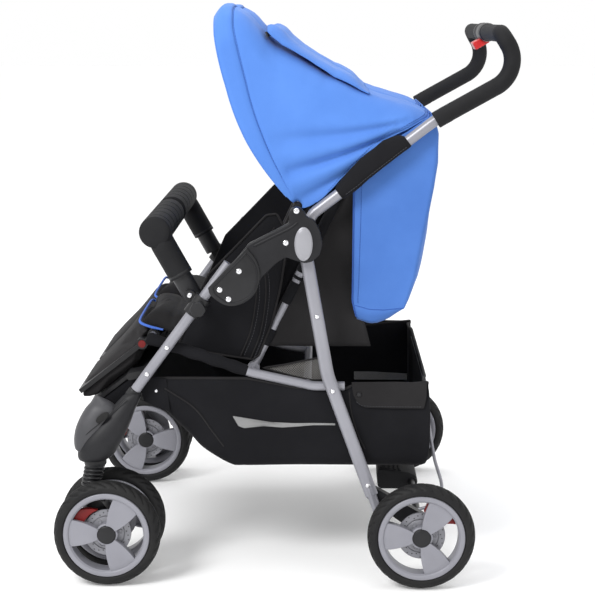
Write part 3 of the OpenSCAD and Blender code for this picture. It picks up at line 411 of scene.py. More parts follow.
def sweep(path, section, scale=None, up=(0, 0, 1), closed=False):
    """Runs an outline along a path; the outline's first axis lies across `up`."""
    p = array(path)
    n, m = len(p), len(section)
    tang = np.gradient(p, axis=0) if not closed else np.roll(p, -1, 0) - np.roll(p, 1, 0)
    pts, side = [], None
    for i in range(n):
        t = unit(tang[i])
        if side is None:
            side = np.cross(t, array(up))
            if np.linalg.norm(side) < 1e-6:
                side = np.cross(t, [1, 0, 0])
        side = unit(side - t * (side @ t))
        over = np.cross(side, t)
        s = 1 if scale is None else scale[i]
        pts += [p[i] + side * a * s + over * b * s for a, b in section]
    return pts, ring_faces(n, m, closed) + ([] if closed else end_faces(n, m))


def thin_line(path, r, closed=False):
    """A thin round line along a path, its radius in mm."""
    return sweep(path, ring(r * MM, 8), closed=closed)


def tube(path, r, n, end):
    """A round bar with softly rounded ends."""
    p = array(path)
    u, v = unit(p[0] - p[1]), unit(p[-1] - p[-2])
    e = r * end
    steps = [0.0, 0.35, 0.7, 1.0]
    first = [p[0] - u * e * s for s in steps[:-1]]
    last = [p[-1] - v * e * s for s in steps[:-1]][::-1]
    inner = [q for q in p if np.linalg.norm(q - p[0]) > e and np.linalg.norm(q - p[-1]) > e]
    mid = [p[0] - u * e] + inner + [p[-1] - v * e]
    size = [1 - end * (1 - math.sqrt(1 - (1 - s) ** 2)) for s in steps[:-1]]
    return sweep(first + mid + last, ring(r, n), size + [1] * len(mid) + size[::-1])


def turned(prof, centre=(0, 0, 0), n=48, axis="y"):
    """A form turned about an axis through centre from [radius, place] pairs, all in mm."""
    m = len(prof)
    middle = array(centre) * MM
    pts, faces = [], []
    for i in range(n):
        a = 2 * math.pi * i / n
        for r, h in prof:
            x, y, place = r * MM * math.cos(a), r * MM * math.sin(a), h * MM
            pts.append(middle + array([x, place, y] if axis == "y" else [x, y, place]))
        j = (i + 1) % n
        faces += [(i * m + k, j * m + k, j * m + k + 1, i * m + k + 1) for k in range(m - 1)]
    return pts, faces


def slab(outline, y0, y1):
    """A side-view outline in mm, extruded from y0 to y1 in mm."""
    n = len(outline)
    pts = [at_depth(p, y) for y in (y0, y1) for p in outline]
    faces = [tuple(range(n)), tuple(range(2 * n - 1, n - 1, -1))]
    faces += [(k, n + k, n + (k + 1) % n, (k + 1) % n) for k in range(n)]
    return pts, faces


def brick(lo, hi):
    x, y, z = zip(lo, hi)
    pts = [array([a, b, c]) * MM for a in x for b in y for c in z]
    return pts, [(0, 1, 3, 2), (4, 6, 7, 5), (0, 4, 5, 1), (2, 3, 7, 6), (0, 2, 6, 4), (1, 5, 7, 3)]


def grid(nu, nv, f):
    """A sheet of nu by nv points f(u, v), u and v from 0 to 1."""
    pts = [array(f(u, v)) for u in np.linspace(0, 1, nu) for v in np.linspace(0, 1, nv)]
    return pts, turned_over(sheet_faces(nu, nv))


def loft(rings):
    """Closed rings of equal length, joined in order."""
    n, m = len(rings), len(rings[0])
    return [array(p) for r in rings for p in r], ring_faces(n, m) + end_faces(n, m)


def flip(shape):
    pts, faces = shape
    return [p * array([1, -1, 1]) for p in pts], [f[::-1] for f in faces]


def both(shape):
    return [shape, flip(shape)]


def sided(shape, k):
    """The shape itself on the right, where k is 1, and its mirror image on the left."""
    return shape if k > 0 else flip(shape)


def moved(shape, m):
    return [array(m @ Vector(p)) for p in shape[0]], shape[1]


def stitches(path, normal, pitch=5 * MM, length=3.4 * MM, r=0.45 * MM):
    """Short threads lying along a seam."""
    p = array(path)
    n = max(2, int(np.linalg.norm(np.diff(p, axis=0), axis=1).sum() / pitch))
    q = even(p, n + 1)
    lift = array(normal) * r * 0.8
    pts, faces = [], []
    for i in range(n):
        t = unit(q[i + 1] - q[i])
        mid = (q[i] + q[i + 1]) / 2 + lift
        s = unit(np.cross(t, array(normal)))
        o = np.cross(s, t)
        k = len(pts)
        ends = [mid - t * length / 2, mid + t * length / 2]
        pts += [e + s * r * a + o * r * b for e in ends for a, b in ((1, 0), (0, 1), (-1, 0), (0, -1))]
        faces += [(k + a, k + (a + 1) % 4, k + 4 + (a + 1) % 4, k + 4 + a) for a in range(4)]
        faces += [(k + 3, k + 2, k + 1, k), (k + 4, k + 5, k + 6, k + 7)]
    return pts, faces


# Pieces

SLOTS = {"silver": "silver_tube", "bright": "bright_steel", "badge": "silver_rim", "foam": "black_foam",
         "red": "red_plastic"}
SLOTS.update(dict.fromkeys(("plastic", "satin", "shell"), "black_plastic"))
SLOTS.update(dict.fromkeys(("black", "lining", "thread", "webbing", "net", "window"), "black_cloth"))
SLOTS.update(dict.fromkeys(("blue", "drape_blue_painted_shade", "seam", "piping"), "blue_cloth"))


def piece(name, shapes, mat, body=None, slot=None, node=None, bevel=0, segments=3, thick=0, angle=40,
          smooth=True, normals=True):
    """Joins shapes into one object, finishes its edges, and lets it ride on a body."""
    shapes = shapes if isinstance(shapes, list) else [shapes]
    pts, faces = [], []
    for p, f in shapes:
        k = len(pts)
        pts += [tuple(q) for q in p]
        faces += [tuple(k + i for i in g) for g in f]
    me = bpy.data.meshes.new(name)
    me.from_pydata(pts, [], faces)
    me.materials.append(MATS[mat])
    if normals:
        bm = bmesh.new()
        bm.from_mesh(me)
        bmesh.ops.remove_doubles(bm, verts=bm.verts, dist=1e-6)
        bmesh.ops.recalc_face_normals(bm, faces=bm.faces)
        bm.to_mesh(me)
        bm.free()
    o = bpy.data.objects.new(name, me)
    scene.collection.objects.link(o)
    if thick:
        mod = o.modifiers.new("thick", "SOLIDIFY")
        mod.thickness, mod.offset = thick, 0
    if bevel:
        mod = o.modifiers.new("bevel", "BEVEL")
        mod.width, mod.segments = bevel, segments
        mod.limit_method, mod.angle_limit = "ANGLE", math.radians(35)
        mod.harden_normals = False
    apply_modifiers(o)
    if smooth:
        o.data.shade_smooth()
        o.data.set_sharp_from_angle(angle=math.radians(angle))
    if body:
        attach(o, body)
    if node:
        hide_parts(node)
    return o


def soft_piece(name, shapes, mat, **more):
    """A piece of cloth, made as any piece."""
    return piece(name, shapes, mat, slot=SLOTS[mat], **more)


def cloth_sheet(name, shape, mat, thick):
    """A thin cloth piece, and the area of one of its faces in square metres."""
    o = soft_piece(name, shape, mat, thick=thick, angle=180, normals=False)
    return o, area_of(o) / 2


def both_sides(name, make, mat, body="chassis", slot=None, node=None, **more):
    """One piece that holds a shape and its mirror image."""
    shapes = make if isinstance(make, list) else [make]
    return piece(name, [s for shape in shapes for s in both(shape)], mat, body, slot, node, **more)


def area_of(o):
    return sum(p.area for p in o.data.polygons)


def apply_modifiers(o):
    if not o.modifiers:
        return
    dg = bpy.context.evaluated_depsgraph_get()
    me = bpy.data.meshes.new_from_object(o.evaluated_get(dg), depsgraph=dg)
    o.modifiers.clear()
    old = o.data
    o.data = me
    bpy.data.meshes.remove(old)


def paint(mat, *names):
    """Gives its material to a solid that stays in sight."""
    for n in names:
        me = NODES[n].data
        me.materials.clear()
        me.materials.append(MATS[mat])
        me.shade_smooth()
        me.set_sharp_from_angle(angle=math.radians(32))


def table(values, at):
    """Reads a table of pairs at a place between its rows."""
    xs, ys = zip(*values)
    return float(np.interp(at, xs, ys))


# Points, directions and depths shared with the solids, in mm

FOLD = (33, 592)
CANOPY_PIVOT = (21, 648)
FOOT = (-232, 419)
BACK = (-56, 360)
LEG_FOOT = (-256, 336)
LEG_DIR = unit((161, 219))
RAIL_DIR = unit((176, -59))
BACK_DIR = unit((math.cos(math.radians(64)), math.sin(math.radians(64))))
PANEL_DIR = unit((-math.cos(math.radians(38)), -math.sin(math.radians(38))))
ARM_DIR = unit((209, 161))
FRONT_AXLE, REAR_AXLE, AXLE_Z = -305, 235.6, 92.5
STEM_X, CASTER_Y = -333, 312
LEG_Y, ARM_Y, RAIL_Y, SEAT_Y, HOOP_Y = 302, 280, 284.7, 132, 240
LINK_FACE, PLATE_FACE = 328, 332


def laid(p, y, direction):
    """Local x along a side-view direction, z to its left, y across."""
    d = direction
    return Matrix(((d[0], 0, -d[1], p[0] * MM), (0, 1, 0, y * MM), (d[1], 0, d[0], p[1] * MM), (0, 0, 0, 1)))


# Wheels: y of each wheel's middle, and the side that its face looks to

WHEELS = {"front_left_outer": (-354, -1), "front_left_inner": (-270, 1), "front_right_inner": (270, -1),
          "front_right_outer": (354, 1), "rear_left": (-364, -1), "rear_right": (364, 1)}


def tyre_shape():
    """Round tyre with slanted grooves cut into both shoulders and two grooves along the tread."""
    prof = [(74.7, -14.5), (75.3, -16.4), (77.2, -17.5), (80, -17.8), (82.6, -17.4), (85.0, -16.4),
            (87.0, -15.0), (88.7, -13.0), (90.1, -10.6), (91.2, -8.0), (91.9, -5.4), (92.1, -4.4),
            (92.2, -3.4), (92.4, -1.8)]
    prof = prof + [(92.45, 0)] + [(r, -h) for r, h in prof[::-1]]
    n, lugs = 300, 30
    pts, faces = [], []
    m = len(prof)
    for i in range(n):
        a = 2 * math.pi * i / n
        for r, h in prof:
            wave = (a * lugs / (2 * math.pi) + 0.09 * (abs(h) - 3)) % 1
            groove = min(1, 1.6 * max(0.0, 1 - abs(wave - 0.5) / 0.17))
            zone = min(1, max(0, (abs(h) - 4.6) / 1.5)) * min(1, max(0, (r - 84) / 3))
            drop = 2.4 * groove * zone + 1.2 * (abs(abs(h) - 3.9) < 0.7)
            out, place = r - drop, h - math.copysign(drop * 0.4, h) * zone
            pts.append(array([out * math.cos(a), place, out * math.sin(a)]) * MM)
        j = (i + 1) % n
        faces += [(i * m + k, j * m + k, j * m + k + 1, i * m + k + 1) for k in range(m - 1)]
        faces.append((i * m + m - 1, j * m + m - 1, j * m, i * m))
    return pts, faces


def sector(r0, r1, start, end, y0, y1, n=14, bow=0.0):
    """A thick ring sector about the wheel's axle. Its two ends are pairs of angles, at r0 and at r1."""
    k = 5
    pts, faces = [], []
    for i in range(n + 1):
        for j in range(k + 1):
            low, high = (a + (b - a) * j / k for a, b in (start, end))
            a, r = math.radians(low + (high - low) * i / n), r0 + (r1 - r0) * j / k
            out = bow * math.sin(math.pi * j / k) * 0.5
            pts += [array([r * math.cos(a), y, r * math.sin(a)]) * MM for y in (y0 - out, y1)]
    w = 2 * (k + 1)
    for i in range(n):
        for j in range(k):
            a, b = i * w + 2 * j, (i + 1) * w + 2 * j
            faces += [(a, a + 2, b + 2, b), (a + 1, b + 1, b + 3, a + 3)]
        a, b = i * w, (i + 1) * w
        faces += [(a, b, b + 1, a + 1), (a + 2 * k, a + 2 * k + 1, b + 2 * k + 1, b + 2 * k)]
    for j in range(k):
        a, b = 2 * j, n * w + 2 * j
        faces += [(a, a + 1, a + 3, a + 2), (b, b + 2, b + 3, b + 1)]
    return pts, faces


def rim_shapes():
    """Barrel with a flat lip, three broad spokes and a hub, its face towards -y."""
    lip = [(74.4, -15.6), (74.0, -17.2), (72.8, -17.9), (66.6, -17.7), (65.6, -17.0), (65.0, -15.6),
           (63.6, -14.8), (63.4, -12), (63.4, 12), (66, 15), (70, 17.2), (73.4, 17.2), (74.4, 15.6),
           (74.4, -15.6)]
    hub = [(5.2, -13), (18.6, -13), (19, -12.4), (19, 17.2), (17, 17.7), (5.2, 17.7), (5.2, -13)]
    out = [turned(lip, n=96), turned(hub)]
    for mid in (57, 177, 297):
        out.append(sector(16, 65, (mid - 33, mid - 21.5), (mid + 33, mid + 21.5), -15.6, -9, bow=1.2))
        for s in (-1, 1):
            out.append(sector(19, 64, (mid + s * 30, mid + s * 21.4), (mid + s * 25, mid + s * 19.6), -10, 2,
                              2))
    return out


def disc_shapes():
    """A ring behind the spokes with a groove and six bosses round the hub."""
    out = [turned([(17, -0.6), (28.4, -0.6), (28.8, -0.2), (29, 2.6), (30.4, 2.6), (30.6, 0.8), (40.6, 0.8),
                   (41.2, 1.4),
                   (41.2, 3.6), (17, 3.6), (17, -0.6)], n=72)]
    for k in range(6):
        a = math.radians(60 * k + 5)
        ring_prof = [(0.1, -0.9), (2.2, -0.9), (2.8, -1.9), (4.0, -1.9), (4.6, -1.2), (4.6, 0)]
        out.append(turned(ring_prof, (23 * math.cos(a), 0, 23 * math.sin(a)), 20))
    return out


# Start and end of the calipers in degrees, each at the inner and the outer radius
CALIPERS = {"front": ((110, 138), (170, 168)), "rear": ((31, 21), (85, 80))}


def wheels():
    """Each part of a wheel is made once; every wheel takes its own copy."""
    holes = []
    for k in range(30):
        a, r = math.radians(12 * k + 4), (33, 38.4, 35.8)[k % 3]
        holes.append(turned([(0.1, 0.62), (1.0, 0.62), (1.2, 0.9)], (r * math.cos(a), 0, r * math.sin(a)),
                            10))
    cap = turned([(0.01, -16.8), (6, -16.8), (13.6, -16.6), (15, -16.1), (16, -14.8), (16.3, -13),
                  (16.3, -11)])
    forms = [("tyre", piece("tyre_form", tyre_shape(), "tyre", angle=50), "tyre_rubber", "tyre_"),
             ("rim", piece("rim_form", rim_shapes(), "rim", bevel=0.0007, segments=2), "silver_rim", "rim_"),
             ("disc", piece("disc_form", disc_shapes(), "disc"), "silver_tube", None),
             ("disc_holes", piece("disc_hole_form", holes, "plastic"), "black_plastic", None),
             ("hub_cap", piece("hub_cap_form", cap, "plastic"), "black_plastic", None)]
    for end, (start, stop) in CALIPERS.items():
        shape = sector(44, 62.8, start, stop, -6, 5, 12, 1.2)
        # The calipers take the red darkened as painted shade
        forms.append(("caliper", piece(end + "_caliper_form", shape, "painted_shade_red", bevel=0.0012),
                      "red_plastic", None))
    for name, (y, face) in WHEELS.items():
        end = name.split("_")[0]
        spin = Matrix.Rotation(math.pi if face > 0 else 0, 4, "Z")
        place = Matrix.Translation(at_depth((FRONT_AXLE if end == "front" else REAR_AXLE, AXLE_Z), y)) @ spin
        rest = Matrix.Rotation(math.radians(57 if name.startswith("front_right") else 0), 4, "Y")
        for part, form, slot, node in forms:
            if part == "caliper" and not form.name.startswith(end):
                continue
            mesh = form.data.copy()
            mesh.transform(place if part == "caliper" else place @ rest)
            o = bpy.data.objects.new(f"wheel_{part}_{name}", mesh)
            scene.collection.objects.link(o)
            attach(o, "wheel_" + name)
            if node:
                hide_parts(node + name)
    for row in forms:
        bpy.data.objects.remove(row[1])


wheels()

# Canopies: a fan of arches about the pivot. Hem and rear edge go by radius, the roof by angle in degrees

HEM_ANGLES = [(8, 138), (57, 133), (136, 128), (236, 120.6), (323, 115.7), (353, 113.7), (365, 112.5)]
REAR_ANGLES = [(8, -20), (20, 0), (37, 15.5), (60, 25.7), (85, 32), (118, 36.4), (158, 37.8), (194, 37),
               (227, 35.5), (277, 33.7), (365, 33.5)]
ROOF = [(33.5, 273), (37.8, 263), (43.4, 247), (50, 233), (56.7, 226), (60.7, 224), (66, 225), (74, 227),
        (82, 240), (89, 256), (95.2, 273), (98.4, 289), (100.4, 306), (104, 334), (107, 349), (109, 357),
        (111.5, 360), (113.7, 352)]
HEM_SHARES = [(8, 0.15), (57, 0.14), (136, 0.13), (236, 0.098), (323, 0.072), (365, 0.066)]
CANOPY_OUT, CANOPY_IN, CANOPY_HUB, CANOPY_MID = 262, 15, 9, 138
HEM = 0.2
CANOPY_ROWS = np.concatenate([np.linspace(0, 0.18, 13), [0.19, 0.196, 0.2, 0.204, 0.21],
                              np.linspace(0.225, 1, 56)])
GATHER = (250, 802)


def about_pivot(rho, degrees):
    """The side-view point at a radius and an angle about the canopy's pivot."""
    a = math.radians(degrees)
    return CANOPY_PIVOT[0] + rho * math.cos(a), CANOPY_PIVOT[1] + rho * math.sin(a)


def canopy_point(a, s):
    """a runs from the front hem to the rear edge, s over the arch from the outer foot to the inner foot."""
    roof_share = a / HEM * 0.068 if a < HEM else 0.068 + 0.932 * (a - HEM) / 0.8
    r = table(ROOF, 113.7 + (33.5 - 113.7) * roof_share)
    c = 56 * min(1, r / 300)
    w = (CANOPY_OUT - CANOPY_IN) / 2
    leg, arc, flat = r - c - CANOPY_HUB, math.pi / 2 * c, 2 * (w - c)
    d = s * (2 * leg + 2 * arc + flat)
    side = 1
    if d > leg + arc + flat / 2:
        d, side = 2 * leg + 2 * arc + flat - d, -1
    if d < leg:
        rho, off = CANOPY_HUB + d, w
    elif d < leg + arc:
        t = (d - leg) / c
        rho, off = r - c + c * math.sin(t), w - c + c * math.cos(t)
    else:
        off = w - c - (d - leg - arc)
        rho = r + 3.5 * (1 - (off / (w - c)) ** 2) * (1 if a > 0.1 else a * 10)
    hem = table(HEM_SHARES, rho)
    t = a / HEM * hem if a < HEM else hem + (1 - hem) * (a - HEM) / 0.8
    x, z = about_pivot(rho, table(HEM_ANGLES, rho) + (table(REAR_ANGLES, rho) - table(HEM_ANGLES, rho)) * t)
    return x, (CANOPY_OUT + CANOPY_IN) / 2 + side * off, z


# Direction and width of each pull fold in degrees, and its height in mm
FOLDS = [(203.0, 2.0, -11.0), (208.0, 2.4, 3.0), (197.5, 3.0, 3.0), (214.0, 2.2, -7.0), (218.5, 2.2, 2.4),
         (190.5, 2.6, -5.0), (185.0, 4.0, 2.4), (223.0, 1.6, -3.5)]


def canopy_fold(x, z, a):
    """Pull folds that run forward from the gathers at the rear; positive stands proud."""
    dx, dz = x - GATHER[0], z - GATHER[1]
    reach = math.hypot(dx, dz)
    ang = math.degrees(math.atan2(dz, dx)) % 360
    fade = min(1, reach / 60) * min(1, max(0, (a - HEM) / 0.12)) * min(1, max(0, (330 - reach) / 120))
    return fade * sum(h * math.exp(-((ang - m - 1.5 * math.sin(reach / 60)) / w) ** 2) for m, w, h in FOLDS)


def canopy_sheet(ns=116):
    """Rows of points and their outward directions; swell, folds and ripples stand off the bare form."""
    base = np.array([[canopy_point(a, s) for s in np.linspace(0, 1, ns)] for a in CANOPY_ROWS])
    out = np.cross(np.gradient(base, axis=0), np.gradient(base, axis=1))
    out /= np.maximum(np.linalg.norm(out, axis=2, keepdims=True), 1e-9)
    if out[len(CANOPY_ROWS) // 2, ns // 2, 2] < 0:
        out = -out
    phase = np.random.default_rng(4).uniform(0, 6.28, 8)
    for i, a in enumerate(CANOPY_ROWS):
        for j in range(ns):
            x, y, z = base[i, j]
            rho = math.hypot(x - CANOPY_PIVOT[0], z - CANOPY_PIVOT[1])
            h = 0.0
            if a < HEM:
                h += 3.2 * math.sin(math.pi * min(1, a / HEM)) ** 0.7 * min(1, rho / 120)
            h -= 1.6 * math.exp(-((a - HEM) / 0.006) ** 2) * min(1, rho / 60)
            side = abs(out[i, j, 1])
            h += canopy_fold(x, z, a) * side * (1 if y > CANOPY_MID else 0.7)
            if a > 0.22:
                near = min(1, rho / 100)
                h += 0.8 * math.sin(x / 31 + phase[0]) * math.sin(z / 37 + phase[1]) * near
                cross = math.sin((x + z) / 17 + phase[2]) * math.sin((x - z) / 23 + y / 40 + phase[3])
                h += 0.5 * cross * near
                h += 2.2 * max(0, (a - 0.86) / 0.14) * math.sin(y / 9 + phase[4]) * (1 - side)
            h = min(h, 2.6) if side > 0.6 and y > CANOPY_MID else h
            base[i, j] += out[i, j] * h
    return base, out


# How far the roof flap lifts off, over the angle
FLAP = [(99.6, 7), (98.7, 17), (97.2, 23), (95.2, 25), (92.8, 16), (89, 11.5), (86, 10.5), (78, 11.5),
        (72, 13), (65, 10.5), (60, 4.5), (57, 1.2)]


def flap_point(u, v):
    """The loose cover over the roof window, its front edge turned up."""
    ang = 99.6 + (57 - 99.6) * u
    y = 36 + (240 - 36) * v
    e = 1 - abs(2 * v - 1) ** 7
    wave = 1.6 * math.sin(y / 15 + u * 5) * math.exp(-u * 5) + 0.8 * math.sin(y / 27 + u * 9)
    return at_depth(about_pivot(table(ROOF, ang) + 2.2 + table(FLAP[::-1], ang) * e + wave * e, ang), y)


def canopies():
    base, out = canopy_sheet()
    rows, ns = base.shape[:2]
    canopy = [p * MM for p in base.reshape(-1, 3)], sheet_faces(rows, ns)
    seam = int(np.argmin(abs(CANOPY_ROWS - HEM)))

    def row(i, skip, lift=0.0):
        return base[i, skip:ns - skip] * MM + out[i, skip:ns - skip] * lift * MM
    slant = (0.1, 0.5, 0.8)
    lines = [thin_line(row(seam, 3), 1.1)] + [stitches(row(i, skip, 0.9), slant)
                                              for i, skip in ((seam + 1, 6), (-2, 8))]
    edges = [thin_line(row(0, 2), 1.5), thin_line(row(-1, 4), 1.4)]
    zip_line = [at_depth(about_pivot(296.5, 100.2), y) for y in np.linspace(42, 236, 24)]
    zipper = sweep(zip_line, band(9 * MM, 2.4 * MM), up=(0.9, 0, 0.4))
    for side, k in SIDES.items():
        o, flat = cloth_sheet("canopy_cloth_" + side, sided(canopy, k), "blue", 0.0016)
        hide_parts("canopy_" + side)
        ride_hood(o)
        o, flat = cloth_sheet("canopy_cover_" + side, sided(grid(40, 36, flap_point), k), "blue", 0.0022)
        ride_hood(o)
        ride_hood(soft_piece("canopy_stitching_" + side, [sided(s, k) for s in lines], "seam"))
        ride_hood(soft_piece("canopy_binding_" + side, [sided(s, k) for s in edges], "blue"))
        ride_hood(soft_piece("canopy_zip_" + side, sided(zipper, k), "webbing"))


def ride_hood(o):
    """Bakes the piece's place into its mesh."""
    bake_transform(o)


canopies()

# Shapes of cloth and shells


def oval(cx, cy, z, a, b, n, power):
    """A level ring with softly squared sides, in mm."""
    out = []
    for k in range(n):
        t = 2 * math.pi * k / n
        c, s = math.cos(t), math.sin(t)
        x = cx + a * math.copysign(abs(c) ** (2 / power), c)
        y = cy + b * math.copysign(abs(s) ** (2 / power), s)
        out.append(array([x, y, z]) * MM)
    return out


def ripple(x, y, z):
    """Small fixed unevenness from crossing waves, about -1 to 1."""
    return (math.sin(x / 19 + 1.3) * math.sin(z / 23 + 0.4) + 0.6 * math.sin((x + z) / 11 + y / 17)
            + 0.5 * math.sin((x - 1.7 * z) / 29 + 2.1)) / 2.1


# Rear drapes: a hanging sheet round each backrest, tucked in below its hem seam. Front and rear give x
# at a height; pouch, seam and top give a length or a height over the share from front to rear

DRAPE_FRONT = [(444, 127), (461, 122), (483, 117), (624, 118), (676, 118), (722, 117)]
DRAPE_REAR = [(469, 207), (524, 225), (629, 245), (680, 255), (723, 261), (775, 262), (806, 252)]
DRAPE_POUCH = [(0, 27), (0.2, 28), (0.42, 25), (0.7, 16), (1, 2)]
DRAPE_SEAM = [(0, 476), (0.3, 468), (0.6, 467), (1, 470)]
DRAPE_TOP = [(0, 720), (0.35, 752), (0.75, 786), (1, 806)]
DRAPE_OUT, DRAPE_IN, DRAPE_HEM = 260, 16.5, 0.9


def drape_point(s, t):
    """s runs 0 to 1 along the outer side, to 2 over the back, to 3 along the inner side; t runs down."""
    u = s if s <= 1 else 3 - s if s >= 2 else 1
    seam, top = table(DRAPE_SEAM, u), table(DRAPE_TOP, u)
    tuck = max(0.0, (t - DRAPE_HEM) / 0.1)
    z = top + (seam - top) * min(1, t / DRAPE_HEM) - table(DRAPE_POUCH, u) * tuck
    x0, x1 = table(DRAPE_FRONT, z), table(DRAPE_REAR, max(z, 469))
    x = x0 + (x1 - x0) * u
    low = min(1, t / 0.5)
    fold = low * (2.0 * math.sin((x - 0.25 * (720 - z)) / 15 + 0.8) + 1.5 * math.sin((x + 0.4 * z) / 21))
    fold += 0.8 * ripple(x, s, z)
    pinch = -2.2 * math.exp(-((t - DRAPE_HEM) / 0.012) ** 2)
    swell = 3.5 * math.sin(math.pi * min(1, t / DRAPE_HEM)) - 13 * tuck ** 1.6
    if s <= 1:
        y = DRAPE_OUT + min(4.0, swell + fold * math.sin(math.pi * min(1, u * 1.02)) ** 0.4 + pinch)
    elif s >= 2:
        y = DRAPE_IN - min(1.0, 0.4 * fold - 8 * tuck)
    else:
        v = s - 1
        y = DRAPE_OUT + (DRAPE_IN - DRAPE_OUT) * v
        x += (5.5 * low * math.sin(v * 3 * math.pi) + 2.2 * fold * math.sin(math.pi * v) + pinch
              - 8 * tuck ** 1.6)
        z -= 6 * math.sin(math.pi * v) * t
    return array([x, y, z]) * MM


def drapes():
    drape = grid(96, 46, lambda a, b: drape_point(3 * a, b))
    proud = array([0, 0.0012, 0])
    front = [drape_point(0.0, t) + proud for t in np.linspace(0.02, 0.98, 50)]
    seam = [drape_point(s, DRAPE_HEM) + proud for s in np.linspace(0.02, 0.98, 60)]
    inset = [drape_point(0.1, t) + array([0, 0.0009, 0]) for t in np.linspace(0.05, 0.88, 50)]
    for side, k in SIDES.items():
        # The drapes take the blue cloth darkened as painted shade
        o, flat = cloth_sheet("rear_drape_cloth_" + side, sided(drape, k), "drape_blue_painted_shade", 0.0016)
        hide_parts("rear_drape_" + side)
        ride_back(o)
        binding = [sided(thin_line(front, 1.4), k), sided(thin_line(seam, 1.1), k)]
        ride_back(soft_piece("rear_drape_binding_" + side, binding, "seam"))
        ride_back(soft_piece("rear_drape_stitching_" + side, sided(stitches(inset, (0, 1, 0)), k), "seam"))


def ride_back(o):
    """Bakes the piece's place into its mesh."""
    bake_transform(o)


drapes()

# Seat sides: gusset behind each backrest, wing in front of it


def gussets():
    front = [(400, -46), (435, -30), (470, -14), (520, 16), (600, 55), (694, 98), (716, 108)]
    rear = [(400, 150), (440, 140), (470, 124), (716, 118)]

    def gusset_point(u, v):
        z = 716 - 316 * u
        x = table(front, z) + (table(rear, z) - table(front, z)) * v
        sag = 3 * math.sin(math.pi * v) * math.sin(math.pi * u)
        return array([x, 246 - sag + 1.5 * ripple(x, 0, z), z]) * MM
    for side, k in SIDES.items():
        o, flat = cloth_sheet("back_gusset_" + side, sided(grid(40, 24, gusset_point), k), "lining", 0.0016)
        ride_back(o)


gussets()

WING = [(-190, 398), (-170, 442), (-150, 490), (-133, 528), (-83, 579), (-32, 632), (-14, 634), (-2, 612),
        (4, 581), (-8, 505), (-24, 440), (-46, 384), (-57, 377), (-100, 383), (-150, 392)]


def around(outline, n):
    """Evenly spaced points round a closed side-view outline."""
    p = array(outline + outline[:1])
    return even(p, n + 1)[:-1]


def pillow(outline, y0, rise, n=120, rings=14):
    """A padded panel: flat at y0, swelling outwards to y0 + rise away from its edge."""
    edge = around(outline, n)
    mid = edge.mean(axis=0)
    pts = []
    for r in range(rings + 1):
        t = r / rings
        for p in edge:
            q = p + (mid - p) * t * 0.97
            h = rise * min(1, (1 - (1 - t) ** 2) * 1.05) ** 0.5
            pts.append(at_depth(q, y0 + h + 0.6 * ripple(q[0], 0, q[1]) * min(1, t * 3)))
    pts.append(at_depth(mid, y0 + rise))
    base = len(pts)
    faces = ring_faces(rings + 1, n) + tip_faces(rings * n, n, base - 1)
    pts += [at_depth(p, y0 - 0.2) for p in edge]
    faces += [(base + (k + 1) % n, base + k, k, (k + 1) % n)[::-1] for k in range(n)]
    faces.append(tuple(base + k for k in range(n))[::-1])
    return pts, faces


def wings():
    seam = [(-60, 560), (-40, 545), (-33, 500), (-42, 430), (-60, 380)]
    inner = [(-78, 555), (-58, 540), (-50, 497), (-60, 430), (-78, 384)]
    crease = [(-118, 528), (-96, 535), (-66, 556), (-38, 584), (-18, 610)]
    piping = [sweep([at_depth(p, 252.2) for p in around(WING, 160)], ring(1.9 * MM, 8), closed=True)]
    piping += [thin_line([at_depth(p, 254.6) for p in curve(q, 40)], 1.3) for q in (seam, inner, crease)]
    thread = [stitches([at_depth(p + array([6, 0]), 255.2) for p in curve(q, 40)], (0, 1, 0))
              for q in (seam, inner)]
    for side, k in SIDES.items():
        o = piece("side_wing_" + side, sided(pillow(WING, 250.8, 4.2), k), "black", "chassis", angle=60)
        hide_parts("side_wings")
        piece("wing_piping_" + side, [sided(s, k) for s in piping], "lining", "chassis")
        piece("wing_stitching_" + side, [sided(s, k) for s in thread], "thread", "chassis")


wings()

# Basket: a lofted bag under the rails, with a turned-down pocket rim at the rear; belly and rim go in pairs

BELLY = [(-240, 344), (-236, 330), (-209, 288), (-165, 243), (-142, 219), (-97, 191.5), (-70, 188.5),
         (20, 190), (117, 190), (225, 190), (244, 191.5), (251, 203), (253, 240), (252, 280), (249, 312),
         (248, 340)]
RIM = [(-240, 349), (-236, 349), (-209, 350), (-165, 350), (-138, 350), (-93, 350), (-65, 350), (20, 334),
       (117, 330), (225, 342), (247, 344), (248, 345), (248, 345), (248, 345), (248, 345), (248, 344)]
BASKET_HALF = 284
BAG_N = 96


def bag_lines():
    s = np.concatenate([[0], np.cumsum(np.linalg.norm(np.diff(array(BELLY), axis=0), axis=1))])
    at = np.linspace(0, s[-1], BAG_N)
    belly = curve(BELLY, BAG_N)
    rim = np.stack([np.interp(at, s, array(RIM)[:, k]) for k in range(2)], 1)
    step = (rim[:, 0] > 100) & (rim[:, 0] < 125)
    rim[step, 1] = np.maximum(rim[step, 1], 329 + (rim[step, 0] - 100) * 0.5)
    return belly, rim


